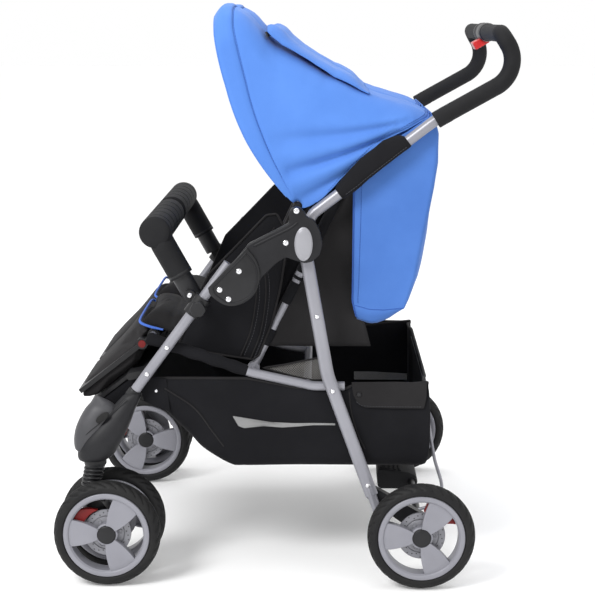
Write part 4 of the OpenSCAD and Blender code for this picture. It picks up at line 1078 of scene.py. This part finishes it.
def bag_point(belly, rim, i, v):
    """v runs from one rim down the side, across the floor and up to the other rim."""
    p, r = belly[i], rim[i]
    side = 1 if v > 0.5 else -1
    w = 2 * abs(v - 0.5)
    deep = max(0.0, r[1] - p[1])
    c = min(26, deep * 0.45 + 2)
    if w > 0.62:
        t = (1 - w) / 0.38
        q = r + (p + array([0, c]) - r) * t
        arch = math.sin(math.pi * t)
        bulge = 3.5 * arch * min(1, deep / 80) + 0.9 * ripple(q[0], side * 40, q[1]) * arch
        return q[0], side * (BASKET_HALF + bulge), q[1]
    if w > 0.46:
        a = (0.62 - w) / 0.16 * math.pi / 2
        return p[0], side * (BASKET_HALF - c + c * math.cos(a)), p[1] + c - c * math.sin(a)
    y = side * (BASKET_HALF - c) * w / 0.46
    back = min(1, max(0, (i / BAG_N - 0.74) * 8))
    sag = -3.5 * (1 - (y / BASKET_HALF) ** 2) * (1 - back) + 0.8 * ripple(p[0], y, p[1])
    pull = -18 * back * max(0, (abs(y) - 212) / 46) ** 2 if p[0] > 246 else 0
    return p[0] + max(pull, 243 - p[0] if p[0] > 243 else 0), y, p[1] + sag


def bag_wall(x, z):
    """Outward depth of the side wall at a side-view point."""
    low = float(np.interp(x, [p[0] for p in BELLY[:11]], [p[1] for p in BELLY[:11]])) + 26
    rim = float(np.interp(x, [p[0] for p in RIM[:11]], [p[1] for p in RIM[:11]]))
    t = min(1, max(0, (rim - z) / (rim - low)))
    arch = math.sin(math.pi * t)
    return BASKET_HALF + 3.5 * arch + 0.9 * arch


def patch(outline, lift, n, rings):
    """A flat-cut patch laid on the basket's side wall."""
    edge = around(outline, n)
    mid = edge.mean(axis=0)
    pts = [at_depth(q, bag_wall(*q) + lift) for r in range(rings)
           for q in (edge + (mid - edge) * (r / rings))]
    pts.append(at_depth(mid, bag_wall(*mid) + lift))
    return pts, ring_faces(rings, n) + tip_faces((rings - 1) * n, n, len(pts) - 1)


def on_wall(line, lift, n):
    """A smooth side-view line laid on the basket's side wall."""
    return [at_depth(p, bag_wall(*p) + lift) for p in curve(line, n)]


def ride_rear(o):
    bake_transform(o)


def basket():
    belly, rim = bag_lines()
    nv = 92
    pts = [array(bag_point(belly, rim, i, j / (nv - 1))) * MM for i in range(BAG_N) for j in range(nv)]
    o, flat = cloth_sheet("basket_cloth", (pts, sheet_faces(BAG_N, nv)), "black", 0.002)
    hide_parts("basket")
    ride_rear(o)
    trims = [thin_line([pts[i * nv + j] for i in range(int(BAG_N * 0.84))], 2.6) for j in (0, nv - 1)]
    trims += [thin_line(pts[:nv], 2.6), thin_line(pts[-nv:], 2.4)]
    seam = [(-209, 333), (-158, 298), (-127, 256), (-107, 228)]
    column = [(112, 328), (116, 290), (128, 250), (140, 224)]
    trims += both(thin_line(on_wall(seam, 1.2, 40), 1.5)) + both(thin_line(on_wall(column, 1.0, 30), 1.3))
    ride_rear(soft_piece("basket_binding", trims, "lining"))
    cuff = [(116, 344), (119, 322), (128, 306), (140, 300), (190, 299), (242, 299), (246, 318), (247, 344),
            (190, 345)]
    o = soft_piece("basket_cuff", both(patch(cuff, 2.8, 90, 10)), "lining", thick=0.0024, angle=60)
    flat = area_of(o) / 2
    ride_rear(o)
    lower = [(124, 311), (132, 304.5), (142, 303), (190, 302), (238, 302)]
    ride_rear(soft_piece("basket_stitching", both(stitches(on_wall(lower, 4.2, 60), (0, 1, 0))), "thread"))
    strip = [(-91, 284), (-81, 266), (-71, 262), (-60, 267.5), (-36, 266), (-5, 263.5), (16, 265), (50, 268),
             (88, 268), (88, 271.5), (50, 272), (16, 271.5), (-19, 273), (-50, 274), (-69, 273),
             (-81, 277.5)]
    ride_rear(soft_piece("basket_net_strip", both(patch(strip, 1.6, 120, 5)), "window", angle=60))
    rear = [(132, 236), (170, 236), (248, 232), (248, 219), (170, 219), (132, 219)]
    ride_rear(soft_piece("basket_inner_net", both(patch(rear, -5.5, 80, 4)), "window", angle=60))
    snap = turned([(0.1, 3), (3.4, 2.6), (4.4, 1.2), (4.6, 0)], (129, bag_wall(129, 323) + 3.8, 323), 20)
    ride_rear(soft_piece("basket_snap", both(snap), "plastic"))


basket()


def rail_nets():
    """Netting between each rail's tail and the rear leg, drawn in a little at its middle."""
    outline = [(-38, 366), (0, 372), (66, 386), (74, 346), (50, 344), (20, 350)]
    rings, n = 5, 60
    edge = around(outline, n)
    mid = edge.mean(axis=0)
    pts = [at_depth(p + (mid - p) * r / rings, 272 - 2 * math.sin(math.pi * r / rings)) for r in range(rings)
           for p in edge]
    pts.append(at_depth(mid, 270))
    faces = ring_faces(rings, n) + tip_faces((rings - 1) * n, n, rings * n)
    o = piece("rail_net", both((pts, faces)), "net", "chassis", angle=60)
    both_sides("rail_net_binding", thin_line([at_depth(p, 272) for p in edge], 1.6, closed=True), "lining")


rail_nets()

# Padded pieces: swollen by cloth pressure, then quilted


def crown(u, v):
    """1 at a pad's middle, 0 at its edge."""
    return math.sqrt(max(0, (1 - u ** 4) * (1 - v ** 4)))


def swell(o, cap):
    """Blows the pad up a little, moving no point further than cap."""
    before = array([v.co for v in o.data.vertices])
    mod = o.modifiers.new("cloth", "CLOTH")
    st = mod.settings
    st.quality, st.mass = 4, 0.25
    st.tension_stiffness = st.compression_stiffness = 12
    st.shear_stiffness, st.bending_stiffness = 6, 0.4
    st.use_pressure, st.uniform_pressure_force = True, 4.0
    st.effector_weights.gravity = 0
    mod.collision_settings.use_collision = False
    mod.point_cache.frame_start, mod.point_cache.frame_end = 1, 20
    for f in range(1, 21):
        scene.frame_set(f)
    apply_modifiers(o)
    scene.frame_set(1)
    after = array([v.co for v in o.data.vertices])
    step = after - before
    size = np.linalg.norm(step, axis=1, keepdims=True)
    o.data.vertices.foreach_set("co", (before + step * np.minimum(1, cap / np.maximum(size, 1e-9))).ravel())


def filled(o, voxel, cap):
    """Gives a pad an even mesh and blows it up."""
    mod = o.modifiers.new("remesh", "REMESH")
    mod.mode, mod.voxel_size = "VOXEL", voxel
    apply_modifiers(o)
    swell(o, cap)


def kept_mesh(o, mat):
    """Rounds a pad off and returns its mesh, for the copies."""
    mod = o.modifiers.new("sub", "SUBSURF")
    mod.levels = mod.render_levels = 1
    apply_modifiers(o)
    o.data.materials.clear()
    o.data.materials.append(MATS[mat])
    o.data.shade_smooth()
    data = o.data
    bpy.data.objects.remove(o)
    return data


def pad_mesh(name, l, w, t, channels, buttons=(), mat="black"):
    """Local x along the pad, y across, resting on z = 0; sizes in mm."""
    n = 26
    us = np.linspace(-1, 1, n + 1)

    def at(u, v, top):
        x = u * (1 - 0.03 * (1 - v * v) * abs(u)) * (l / 2 - 3)
        y = v * (1 - 0.03 * (1 - u * u) * abs(v)) * (w / 2 - 3)
        return array([x, y, t * (0.34 + 0.5 * crown(u, v)) if top else 0.0]) * MM
    k = n + 1
    pts = [at(u, v, top) for top in (True, False) for u in us for v in us]
    q = k * k
    faces = turned_over(sheet_faces(k, k))
    faces += [tuple(q + a for a in f[::-1]) for f in faces]
    rim = [i * k for i in range(n)] + [n * k + j for j in range(n)]
    rim += [i * k + n for i in range(n, 0, -1)] + list(range(n, 0, -1))
    faces += [(a, b, q + b, q + a) for a, b in zip(rim, rim[1:] + rim[:1])]
    o = piece(name, (pts, faces), mat, smooth=False)
    filled(o, 0.005, 0.007)
    co = array([v.co for v in o.data.vertices])
    u, v = co[:, 0] / (l / 2 * MM), co[:, 1] / (w / 2 * MM)
    high = np.clip(co[:, 2] / (t * MM * 0.5), 0, 1)
    dip = np.zeros(len(co))
    for c, across, depth, width in channels:
        d = (u - c) * l / 2 if across else (v - c) * w / 2
        dip += depth * np.exp(-(d / width) ** 2)
    for bu, bv, depth, r in buttons:
        dip += depth * np.exp(-(((u - bu) * l / 2) ** 2 + ((v - bv) * w / 2) ** 2) / r ** 2)
    ripples = array([ripple(a * 1000, b * 1000, c * 500) for a, b, c in co]) * 0.5
    co[:, 2] += (-dip + ripples) * high * MM
    for axis, low, top in ((2, 0, t), (0, -l / 2, l / 2), (1, -w / 2, w / 2)):
        co[:, axis] = np.clip(co[:, axis], low * MM, top * MM)
    o.data.vertices.foreach_set("co", co.ravel())
    return kept_mesh(o, mat)


def laid_over(p, y, direction):
    """Local x along a side-view direction that points forward and down, z to its upper side."""
    d = direction
    return Matrix(((d[0], 0, d[1], p[0] * MM), (0, -1, 0, y * MM), (d[1], 0, -d[0], p[1] * MM),
                   (0, 0, 0, 1)))


def shift(x, y, z):
    return Matrix.Translation((x * MM, y * MM, z * MM))


def place_copy(name, data, m, body=None):
    """One copy of a pad's mesh, set in its place."""
    o = bpy.data.objects.new(name, data.copy())
    o.data.transform(m)
    scene.collection.objects.link(o)
    if body:
        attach(o, body)
    return o


def in_metres(points):
    return [array(p) * MM for p in points]


# The seat piping's line: along the seat, across it and up from it
PIPE = [(6, 117, 14), (-8, 117.5, 13), (-22, 116, 13), (-29, 110, 14), (-31, 90, 15), (-31.5, 40, 15.5),
        (-31.5, -40, 15.5), (-31, -90, 15), (-29, -110, 14), (-22, -116, 13), (-8, -117.5, 13),
        (6, -117, 14)]


def seats():
    cushion = pad_mesh("seat_form", 178, 235, 34,
                       [(-0.42, True, 3.5, 4), (0.2, True, 3.0, 4), (0.86, True, 4, 6)],
                       [(-0.1, 0, 4, 9)], "lining")
    rows = [(c, True, 4, 4.5) for c in (-0.5, 0.0, 0.46)]
    back = pad_mesh("back_form", 322, 230, 36, rows + [(0.62, False, 3, 4), (-0.62, False, 3, 4)])
    foot = foot_form()
    for side, k in SIDES.items():
        seat_at = laid(FOOT, k * SEAT_Y, RAIL_DIR)
        back_at = laid(BACK, k * SEAT_Y, BACK_DIR)
        o = place_copy("seat_cushion_pad_" + side, cushion, seat_at @ shift(59, 0, 12), "chassis")
        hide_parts("seat_cushion_" + side)
        o = place_copy("backrest_cushion_" + side, back, back_at @ shift(218, 0, 7.3), "backrest_" + side)
        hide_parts("backrest_pad_" + side)
        o = place_copy("footrest_cover_" + side, foot, laid_over(FOOT, k * SEAT_Y, PANEL_DIR))
        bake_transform(o)
        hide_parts("footrest_pad_" + side)
        line = [array(seat_at @ Vector(p)) for p in in_metres(curve(PIPE, 120))]
        piece("seat_piping_" + side, sweep(line, ring(2.3 * MM, 10)), "piping", "chassis")
        tabs = [sweep(in_metres([(2, b, 14), (8, b, 14.4), (14, b, 15)]), band(8 * MM, 3 * MM))
                for b in (117.2, -117.2)]
        piece("seat_piping_tabs_" + side, [moved(s, seat_at) for s in tabs], "piping", "chassis",
              bevel=0.0006)
        harness(side, seat_at, back_at)
        loops = []
        for s0, s1 in ((47, 78), (129, 170), (176, 182), (190, 352)):
            path = [(s0 + (s1 - s0) * t, k * 111, 0) for t in np.linspace(0, 1, 9)]
            loops.append(tube([array(back_at @ Vector(p)) for p in in_metres(path)], 9.4 * MM, 18, 0.25))
        piece("backrest_loops_" + side, loops, "black", "backrest_" + side)


# Heights of the footrest cover's crown, edge and underside along the board
FOOT_CROWN = [(-3, 31), (15, 29), (40, 23), (70, 17), (110, 11), (150, 4), (166, -0.5), (173, -4)]
FOOT_EDGE = [(-3, 14), (8, 12), (26, 7), (100, 2), (150, -1), (173, -5)]
FOOT_LOW = [(-3, 11), (20, 8.5), (34, 7), (44, -12), (58, -19), (147, -20), (164, -15), (173, -8)]


def foot_form():
    """One padded cover from the seat's front edge over the hinge and round the board to its tip."""
    rings = []
    places = [np.linspace(-3, 34, 12), np.linspace(36, 46, 6), np.linspace(50, 164, 30), [168, 171, 173]]
    falls = (0.12, 0.4, 0.7, 0.92)
    for x in np.concatenate(places):
        top, edge, low = table(FOOT_CROWN, x), table(FOOT_EDGE, x), table(FOOT_LOW, x)
        w = 117 - 3 * max(0, (x - 150) / 23) ** 2 - 2.5 * max(0, min(1, (40 - x) / 12))
        row = [(v * (w - 2.5), edge + (top - edge) * (1 - abs(v) ** 3.2) + 0.7 * ripple(x, v * w, 5))
               for v in np.linspace(-1, 1, 48)]
        row += [(w, edge + (low - edge) * t) for t in falls]
        row += [(v * (w - 2), low) for v in np.linspace(1, -1, 24)]
        row += [(-w, edge + (low - edge) * t) for t in falls[::-1]]
        rings.append(in_metres([(x, y, z) for y, z in row]))
    o = piece("foot_form", loft(rings), "lining", smooth=False)
    filled(o, 0.0045, 0.005)
    mod = o.modifiers.new("soft", "SMOOTH")
    mod.factor, mod.iterations = 0.5, 3
    apply_modifiers(o)
    return kept_mesh(o, "lining")


def rail_sleeves():
    """Cloth of the seat sides that wraps the rails between the front legs and the recline pivots."""
    n = array([-RAIL_DIR[1], RAIL_DIR[0]])
    rings = []
    for t in np.concatenate([[0, 0.004], np.linspace(0.01, 0.99, 60), [0.996, 1]]):
        p = array(FOOT) + (array(BACK) - array(FOOT)) * (t * 0.985 - 0.04)
        fade = min(1, t / 0.02, (1 - t) / 0.02)
        up = 8.3 + fade * (3.0 + 0.7 * math.sin(38 * t))
        low = 8.3 + fade * (1.6 + 0.9 * math.sin(29 * t + 1))
        rings.append([at_depth(p + n * (math.sin(a) * (up if math.sin(a) > 0 else low)),
                               RAIL_Y + 8.25 * math.cos(a))
                      for a in np.linspace(0, 2 * math.pi, 28, endpoint=False)])
    both_sides("rail_sleeve", loft(rings), "black", angle=50)


rail_sleeves()


def harness(side, seat_at, back_at):
    """Shoulder straps with their pads, lap and crotch straps, and the buckle between them."""
    def strap(points, n, at):
        return moved(sweep(in_metres(curve(points, n)), band(25 * MM, 2.2 * MM)), at)
    back = "backrest_" + side
    straps, pads = [], []
    for y in (-46, 46):
        straps.append(strap([(338, y * 0.9, 22), (322, y * 0.9, 36), (290, y, 45), (220, y, 45.5),
                             (150, y * 1.1, 45),
                             (96, y * 1.3, 38), (70, y * 1.6, 24)], 40, back_at))
        pad = curve([(300, y, 47.5), (250, y, 48.5), (190, y, 48)], 20)
        pads.append(moved(sweep(in_metres(pad), band(46 * MM, 8 * MM, 0.4), [0.8] + [1] * 18 + [0.8]),
                          back_at))
    piece("shoulder_straps_" + side, straps, "webbing", back)
    piece("shoulder_pads_" + side, pads, "lining", back, bevel=0.001, segments=2)
    laps = [[(96, 26 * s, 53), (118, 70 * s, 49), (136, 104 * s, 40)] for s in (1, -1)]
    lap = [strap(q, 30, seat_at) for q in [[(44, 0, 40), (60, 0, 48), (84, 0, 53)]] + laps]
    piece("lap_straps_" + side, lap, "webbing", "chassis")
    shell = [(-26, -22), (26, -22), (30, -10), (30, 12), (20, 24), (-20, 24), (-30, 12), (-30, -10)]
    buckle = loft([in_metres([(94 + b, a, z) for a, b in shell]) for z in (48, 62)])
    piece("harness_buckle_" + side, moved(buckle, seat_at), "plastic", "chassis", bevel=0.004)
    press = turned([(0.1, 3.4), (7, 3.2), (8.6, 2), (9, 0)], n=28, axis="z")
    piece("harness_press_" + side, moved(press, seat_at @ shift(94, 0, 61.6)), "satin", "chassis")


seats()

# Handle: cloth sleeves on the arms, release housing and its button

ELBOW = array((46, 636))
# How far the sleeve stands above and below the arm's line, along the arm
SLEEVE_UP = [(38, 10.5), (42, 12.5), (50, 14.5), (78, 20.8), (128, 27.2), (168, 26.6), (190, 21.5),
             (201, 16.5), (206, 10.5)]
SLEEVE_LOW = [(38, 10.5), (42, 12.6), (77, 13.4), (100, 11.2), (139, 10.6), (177, 10.4), (203, 10.8),
              (206, 10.2)]
HANDLE_TOP = (364.3, 941.5)
SLEEVE_SHIFT = 21
GRIP_TAIL = [(279, 810), (270, 805), (265, 802.2), (260.4, 799.5), (255.6, 796.6)]


def sleeve_line(s):
    """The arm's side-view point at s; the sleeve's lower end is drawn up by SLEEVE_SHIFT."""
    return ELBOW + ARM_DIR * (s + SLEEVE_SHIFT * (206 - s) / 168)


def handle_cloth():
    n = array([-ARM_DIR[1], ARM_DIR[0]])
    rings = []
    for s in np.concatenate([[38, 38.6, 40], np.linspace(42, 202, 64), [204, 205.4, 206]]):
        up, low = table(SLEEVE_UP, s), table(SLEEVE_LOW, s)
        half = table([(38, 10.2), (43, 12.4), (128, 13.3), (200, 12.4), (206, 10.0)], s)
        fade = min(1, (s - 38) / 10) * min(1, (206 - s) / 10)
        row = []
        for k in range(36):
            a = 2 * math.pi * k / 36
            c, d = math.cos(a), math.sin(a)
            wave = 0.018 * math.sin(s / 9 + 2 * d) * max(0, d) + 0.03 * math.sin(s / 21 + 2 * a + 1)
            h = (up if d > 0 else low) * d * (1 + fade * wave if d > 0 else 1)
            row.append(at_depth(sleeve_line(s) + n * h, ARM_Y + half * c))
        rings.append(row)
    wrap = both_sides("handle_sleeve_cloth", loft(rings), "black", "push_handle", node="handle_sleeves",
                      angle=50)
    width = [(38, 10.2), (128, 12), (206, 10)]
    line = [at_depth(sleeve_line(s) + n * table(SLEEVE_LOW, s) * -0.55, ARM_Y + table(width, s))
            for s in np.linspace(48, 198, 40)]
    both_sides("handle_sleeve_stitching", stitches(line, (0, 1, 0)), "thread", "push_handle")


def handle_release():
    half = [(9.8, -58), (14.6, -58), (15.8, -57), (16.4, -54.6), (16.8, -51), (16.8, -46), (16, -45.4),
            (16, -43.6), (16.8, -43), (17.2, -27), (16.6, -26.2)]
    x, z = HANDLE_TOP
    shell = turned(half + [(r, -h) for r, h in half[::-1]], (x, 0, z), 64)
    piece("release_shell", shell, "plastic", "push_handle", node="release_housing")
    key = [brick((-14, -23, -7), (14, 23, 7))]
    key += [brick((-11 + 6 * i, -19, -8), (-9 + 6 * i, 19, -6)) for i in range(4)]
    tilt = Matrix.Translation(at_depth((x - 9.5, z - 19), 0)) @ Matrix.Rotation(math.radians(-29), 4, "Y")
    piece("release_key", [moved(shape, tilt) for shape in key], "red", "handle_release",
          node="release_button", bevel=0.0024)


def grip_tails():
    """Foam that runs on from the grip down to each sleeve."""
    both_sides("grip_tail", tube([at_depth(p, ARM_Y) for p in GRIP_TAIL], 14.65 * MM, 36, 0.12), "foam",
               "push_handle")


handle_cloth()
handle_release()
grip_tails()

# Front forks, arm links and fittings

# Height, x, half length and half width of each level
BOOT = [(213, -333, 23, 26), (216, -331, 27, 29), (223, -327, 32, 31.5), (239, -321, 35, 33),
        (261, -308, 34, 31), (285, -291, 27, 25.5), (299, -281, 22, 21.5), (313, -271, 18.5, 17.5),
        (322, -265, 16, 15.5), (328, -261, 12, 12)]
FENDER = [(228, -350, 6, 20), (234, -351, 12.5, 24), (250, -345, 20, 26), (268, -335, 27, 27),
          (285, -327, 28, 26.5), (299, -319, 28, 24.5), (306, -318.2, 23.3, 22), (312, -319.2, 16.3, 17),
          (318, -322, 8, 9), (321, -323.5, 3.5, 4), (322, -323.7, 1.5, 1.5)]


def fork_body(rows, power=2.5):
    """A lofted shell of level ovals; it leans outwards as it comes down."""
    return loft([oval(x, LEG_Y + 10 * min(1, max(0, (340 - h) / 90)), h, a, b, 44, power)
                 for h, x, a, b in curve(rows, 30)])


def forks():
    both_sides("fork_boot", fork_body(BOOT), "satin", node="fork_housings", angle=50)
    both_sides("fork_fender", fork_body(FENDER, 2.3), "shell", angle=50)
    recess = turned([(0.1, 1.2), (7.5, 1.2), (8.6, 0.8), (9, -2)], n=32)
    lean = Matrix.Rotation(math.radians(-38), 4, "Y") @ Matrix.Diagonal((1.5, 1, 0.7, 1))
    mouth = moved(recess, Matrix.Translation(at_depth((-312, 292), 337.5)) @ lean)
    both_sides("fork_mouth", mouth, "tyre", slot="black_plastic")
    line = [(-352, 246, 20), (-338, 264, 26), (-310, 287, 22), (-290, 306, 17), (-272, 322, 13)]
    both_sides("fork_seam", thin_line([at_depth((x, z), 311 + d) for x, z, d in curve(line, 40)], 0.9),
               "plastic")
    collar = tube([at_depth(array(LEG_FOOT) + LEG_DIR * s, LEG_Y) for s in (-20, -12, -6, -3)], 11.4 * MM,
                  28, 0.3)
    both_sides("leg_collar", collar, "plastic")
    ring_top = [(9, 216), (18.6, 216), (19.4, 214), (19.4, 204.4), (18.6, 203), (9, 203)]
    both_sides("spring_seat", turned(ring_top, (STEM_X + 4, CASTER_Y, 0), 40, "z"), "plastic", angle=30)


def front_cloth():
    tab = [(-252, 336), (-236, 351), (-206, 350), (-200, 290), (-226, 300), (-246, 310)]
    shape = slab(around(tab, 50), 286.6, 289)
    for side, k in SIDES.items():
        o = piece("basket_tab_" + side, sided(shape, k), "black", "chassis", bevel=0.0008)
    both_sides("basket_tab_snap", dome((-224, 328), 289, 3.4, 2), "bright")
    apron = [(-234, 373), (-330, 302), (-327, 297), (-309, 290), (-267, 326), (-236, 359)]
    piece("front_apron", slab(apron, -266, 266), "black", "chassis", bevel=0.003)


def rear_tubes():
    foot = tube([at_depth(q, LEG_Y) for q in ((144, 168), (152, 146), (160, 124), (165, 110))], 8.2 * MM, 24,
                0.2)
    both_sides("rear_leg_foot", foot, "silver", "rear_frame")
    side = curve([(238, 100), (272, 114), (279, 145), (265, 196), (254, 260), (250, 300), (250, 312)], 60)
    corners = ((313, -HOOP_Y), (324, -HOOP_Y), (324, HOOP_Y), (313, HOOP_Y))
    across = bent([at_depth((250, h), y) for h, y in corners], [9 * MM, 9 * MM])
    left, right = ([at_depth(q, y) for q in side] for y in (-HOOP_Y, HOOP_Y))
    rod = left + list(across[1:-1]) + right[::-1]
    piece("hoop_rod", tube(rod, 3 * MM, 12, 0.3), "silver", "rear_frame", node="basket_hoop")


LINK = [(-118, 520), (-66, 584), (-60, 592), (8, 627), (9, 646), (13, 652.5), (21, 655.5), (29, 652.5),
        (34, 646), (38, 638), (50, 633), (60, 616), (65, 592), (60, 573), (48, 562), (36, 559), (20, 563),
        (3, 569), (-14, 558), (-38, 534), (-52, 508), (-72, 491), (-98, 488), (-117, 501)]
PLATE = [(-129, 517), (-123, 503), (-98, 487), (-72, 490), (-50, 507), (-41, 536), (-46, 563), (-63, 586)]


def arm_pieces():
    link = slab(around(LINK, 110), 311.5, LINK_FACE)
    both_sides("arm_link", link, "satin", node="arm_links", bevel=0.0028, segments=4, angle=60)
    ridge = [at_depth(p, 327.6) for p in curve([(-52, 588), (-20, 604), (10, 619), (24, 630)], 30)]
    both_sides("arm_ridge", sweep(ridge, ring(2.2 * MM, 10), [0.4] + [1] * 28 + [0.4]), "satin")
    outline = curve(PLATE, 60)
    plate = slab(outline, 328.1, PLATE_FACE)
    both_sides("cover_plate", plate, "plastic", node="cover_plates", bevel=0.0012, angle=60)
    mid = outline.mean(axis=0)
    both_sides("cover_bead", thin_line([at_depth(mid + (p - mid) * 0.86, 331.9) for p in outline], 1.5,
                                       closed=True), "satin")
    pin = turned([(0.1, 0), (6.6, 0), (6.8, -0.6), (6.8, -48)], (FOLD[0], 311.6, FOLD[1]), 32)
    both_sides("fold_pin", pin, "bright")


def dome(p, y, r, h):
    """A round head with a small dimple, standing out from y."""
    shares = ((0.02, 0.72), (0.16, 0.74), (0.22, 0.96), (0.4, 0.98), (0.66, 0.82), (0.86, 0.5), (0.97, 0.16),
              (1, 0))
    return turned([(a * r, b * h) for a, b in shares], (p[0], y, p[1]), 20)


def stacked_cap(p, y, levels, n, across, high, lobes=0.0):
    """A cap of shrinking rings about a side-view point; lobes waves its edge six times."""
    rings = []
    for r, h in levels:
        row = []
        for t in np.linspace(0, 2 * math.pi, n, endpoint=False):
            out = r * (1 + lobes * math.cos(6 * t))
            row.append(at_depth((p[0] + across * out * math.cos(t), p[1] + high * out * math.sin(t)), y + h))
        rings.append(row)
    return loft(rings)


def fittings():
    levels = ((1.0, 0), (0.99, 1.2), (0.95, 2.0), (0.9, 2.5), (0.87, 2.2), (0.84, 2.7), (0.6, 3.3),
              (0.3, 3.6), (0.03, 3.7))
    oval_cap = stacked_cap(FOLD, LINK_FACE, levels, 56, 15.5, 29)
    both_sides("hinge_oval", oval_cap, "badge", node="hinge_caps", angle=30)
    heads = [dome(p, PLATE_FACE, 5.6, 3.2) for p in ((-76, 546), (-109, 514), (-94, 498))]
    heads += [dome(p, LINK_FACE, 5.6, 3.2) for p in (CANOPY_PIVOT, (3, 594))]
    both_sides("frame_rivet_heads", heads, "bright", node="frame_rivets")
    heads = [dome(p, 310.6, 4.6, 3) for p in ((-202, 409), (-237, 362))] + [dome((-162, 499), 302, 5.2, 3)]
    both_sides("leg_rivet_heads", heads, "bright")
    heads = [dome(p, 309.4, 4.6, 3) for p in ((55.6, 464), (83, 333), (145, 165))]
    both_sides("rear_rivet_heads", heads, "bright", "rear_frame")
    levels = ((0.5, 0), (1, 0), (1.04, 1.2), (1.04, 5.5), (0.94, 7.4), (0.6, 8), (0.03, 8.1))
    both_sides("clamp_knob", stacked_cap((-147, 478), 318.6, levels, 60, 13, 13, 0.03), "plastic", angle=35)


def bumper():
    prof = [(21.6, 17), (24.8, 17), (26.6, 18), (27.4, 20)]
    for y in np.arange(21, 288, 1.5):
        groove = max(math.exp(-((y - c) / 1.6) ** 2) for c in (66, 115, 164, 213, 262))
        prof.append((27.4 - 2.4 * groove + 0.04 * math.sin(y * 1.7), y))
    prof += [(27.2, 289), (26.2, 291), (23.5, 293), (16, 294.4), (0.1, 295)]
    both_sides("bumper_rolls", turned(prof, (-222, 0, 606), 56), "foam", "bumper", node="bumper_grips")
    low, d = array((-162, 499)), unit((-60, 107))
    cuff = tube([at_depth(low + d * s, 274) for s in np.linspace(34.6, 44, 6)], 21.8 * MM, 36, 0.2)
    both_sides("bumper_cuffs", cuff, "plastic", "bumper")


def springs():
    z0, z1, turns, steps = 165.8, 206.7, 6, 28

    def leaning(r, a, z):
        return array([STEM_X + 0.2 * (z - 187) + r * math.cos(a), CASTER_Y + r * math.sin(a), z]) * MM
    path = [leaning(15.6, 2 * math.pi * i / steps, z0 + (z1 - z0) * i / (turns * steps))
            for i in range(turns * steps + 1)]
    folds = [(9.4, z0 - 2)]
    for i in range(turns):
        z = z0 + (z1 - z0) * i / turns
        folds += [(12.4, z), (14.2, z + 2.2), (14.2, z + 4.4), (12.4, z + 6.6)]
    folds += [(17, z1 + 1), (18, z1 + 3), (18, 215)]
    boot = loft([[leaning(r, a, z) for a in np.linspace(0, 2 * math.pi, 32, endpoint=False)]
                 for r, z in folds])
    coil = sweep(path, ring(2.5 * MM, 10))
    for name, shape, slot, node in (("coil", coil, "black_spring", "caster_spring_"),
                                    ("boot", boot, "black_plastic", None)):
        for side, k in SIDES.items():
            o = piece(f"caster_{name}_{side}", sided(shape, k), "spring", "caster_" + side, slot,
                      node and node + side)
            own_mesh(o)


def brake():
    outline = [(171, 110), (173, 117), (180, 118), (232, 110), (245, 104), (249, 92), (244, 81), (230, 78),
               (178, 78), (172, 82)]
    rib = [(176, 117.4), (181, 116.8), (181, 119), (176, 119.6)]
    ribs = [slab([(x + 9 * i, z - 1.2 * i) for x, z in rib], -36, 36) for i in range(5)]
    piece("brake_block", slab(outline, -42, 42), "foam", "brake", "black_plastic", "brake_pedal",
          bevel=0.004, segments=4)
    piece("brake_ribs", ribs, "foam", "brake", "black_plastic", bevel=0.0006)


forks()
front_cloth()
rear_tubes()
arm_pieces()
fittings()
bumper()
springs()
brake()

# Plain materials on the solids that stay

paint("silver", "front_legs", "seat_frame", "rear_legs", "handle_tube", "backrest_frame_left",
      "backrest_frame_right")
paint("plastic", "front_panel", "canopy_brackets", "bumper_clamps", "rear_axle", "axle_brackets",
      "footrest_board_left", "footrest_board_right",
      "canopy_bow_left", "canopy_bow_right", "caster_yoke_left", "caster_yoke_right")
paint("foam", "bumper_bar", "handle_grips")
paint("spring", "caster_stem_left", "caster_stem_right")
# The footrest buttons take the same red, darkened as painted shade
paint("painted_shade_red", "footrest_button_left", "footrest_button_right")
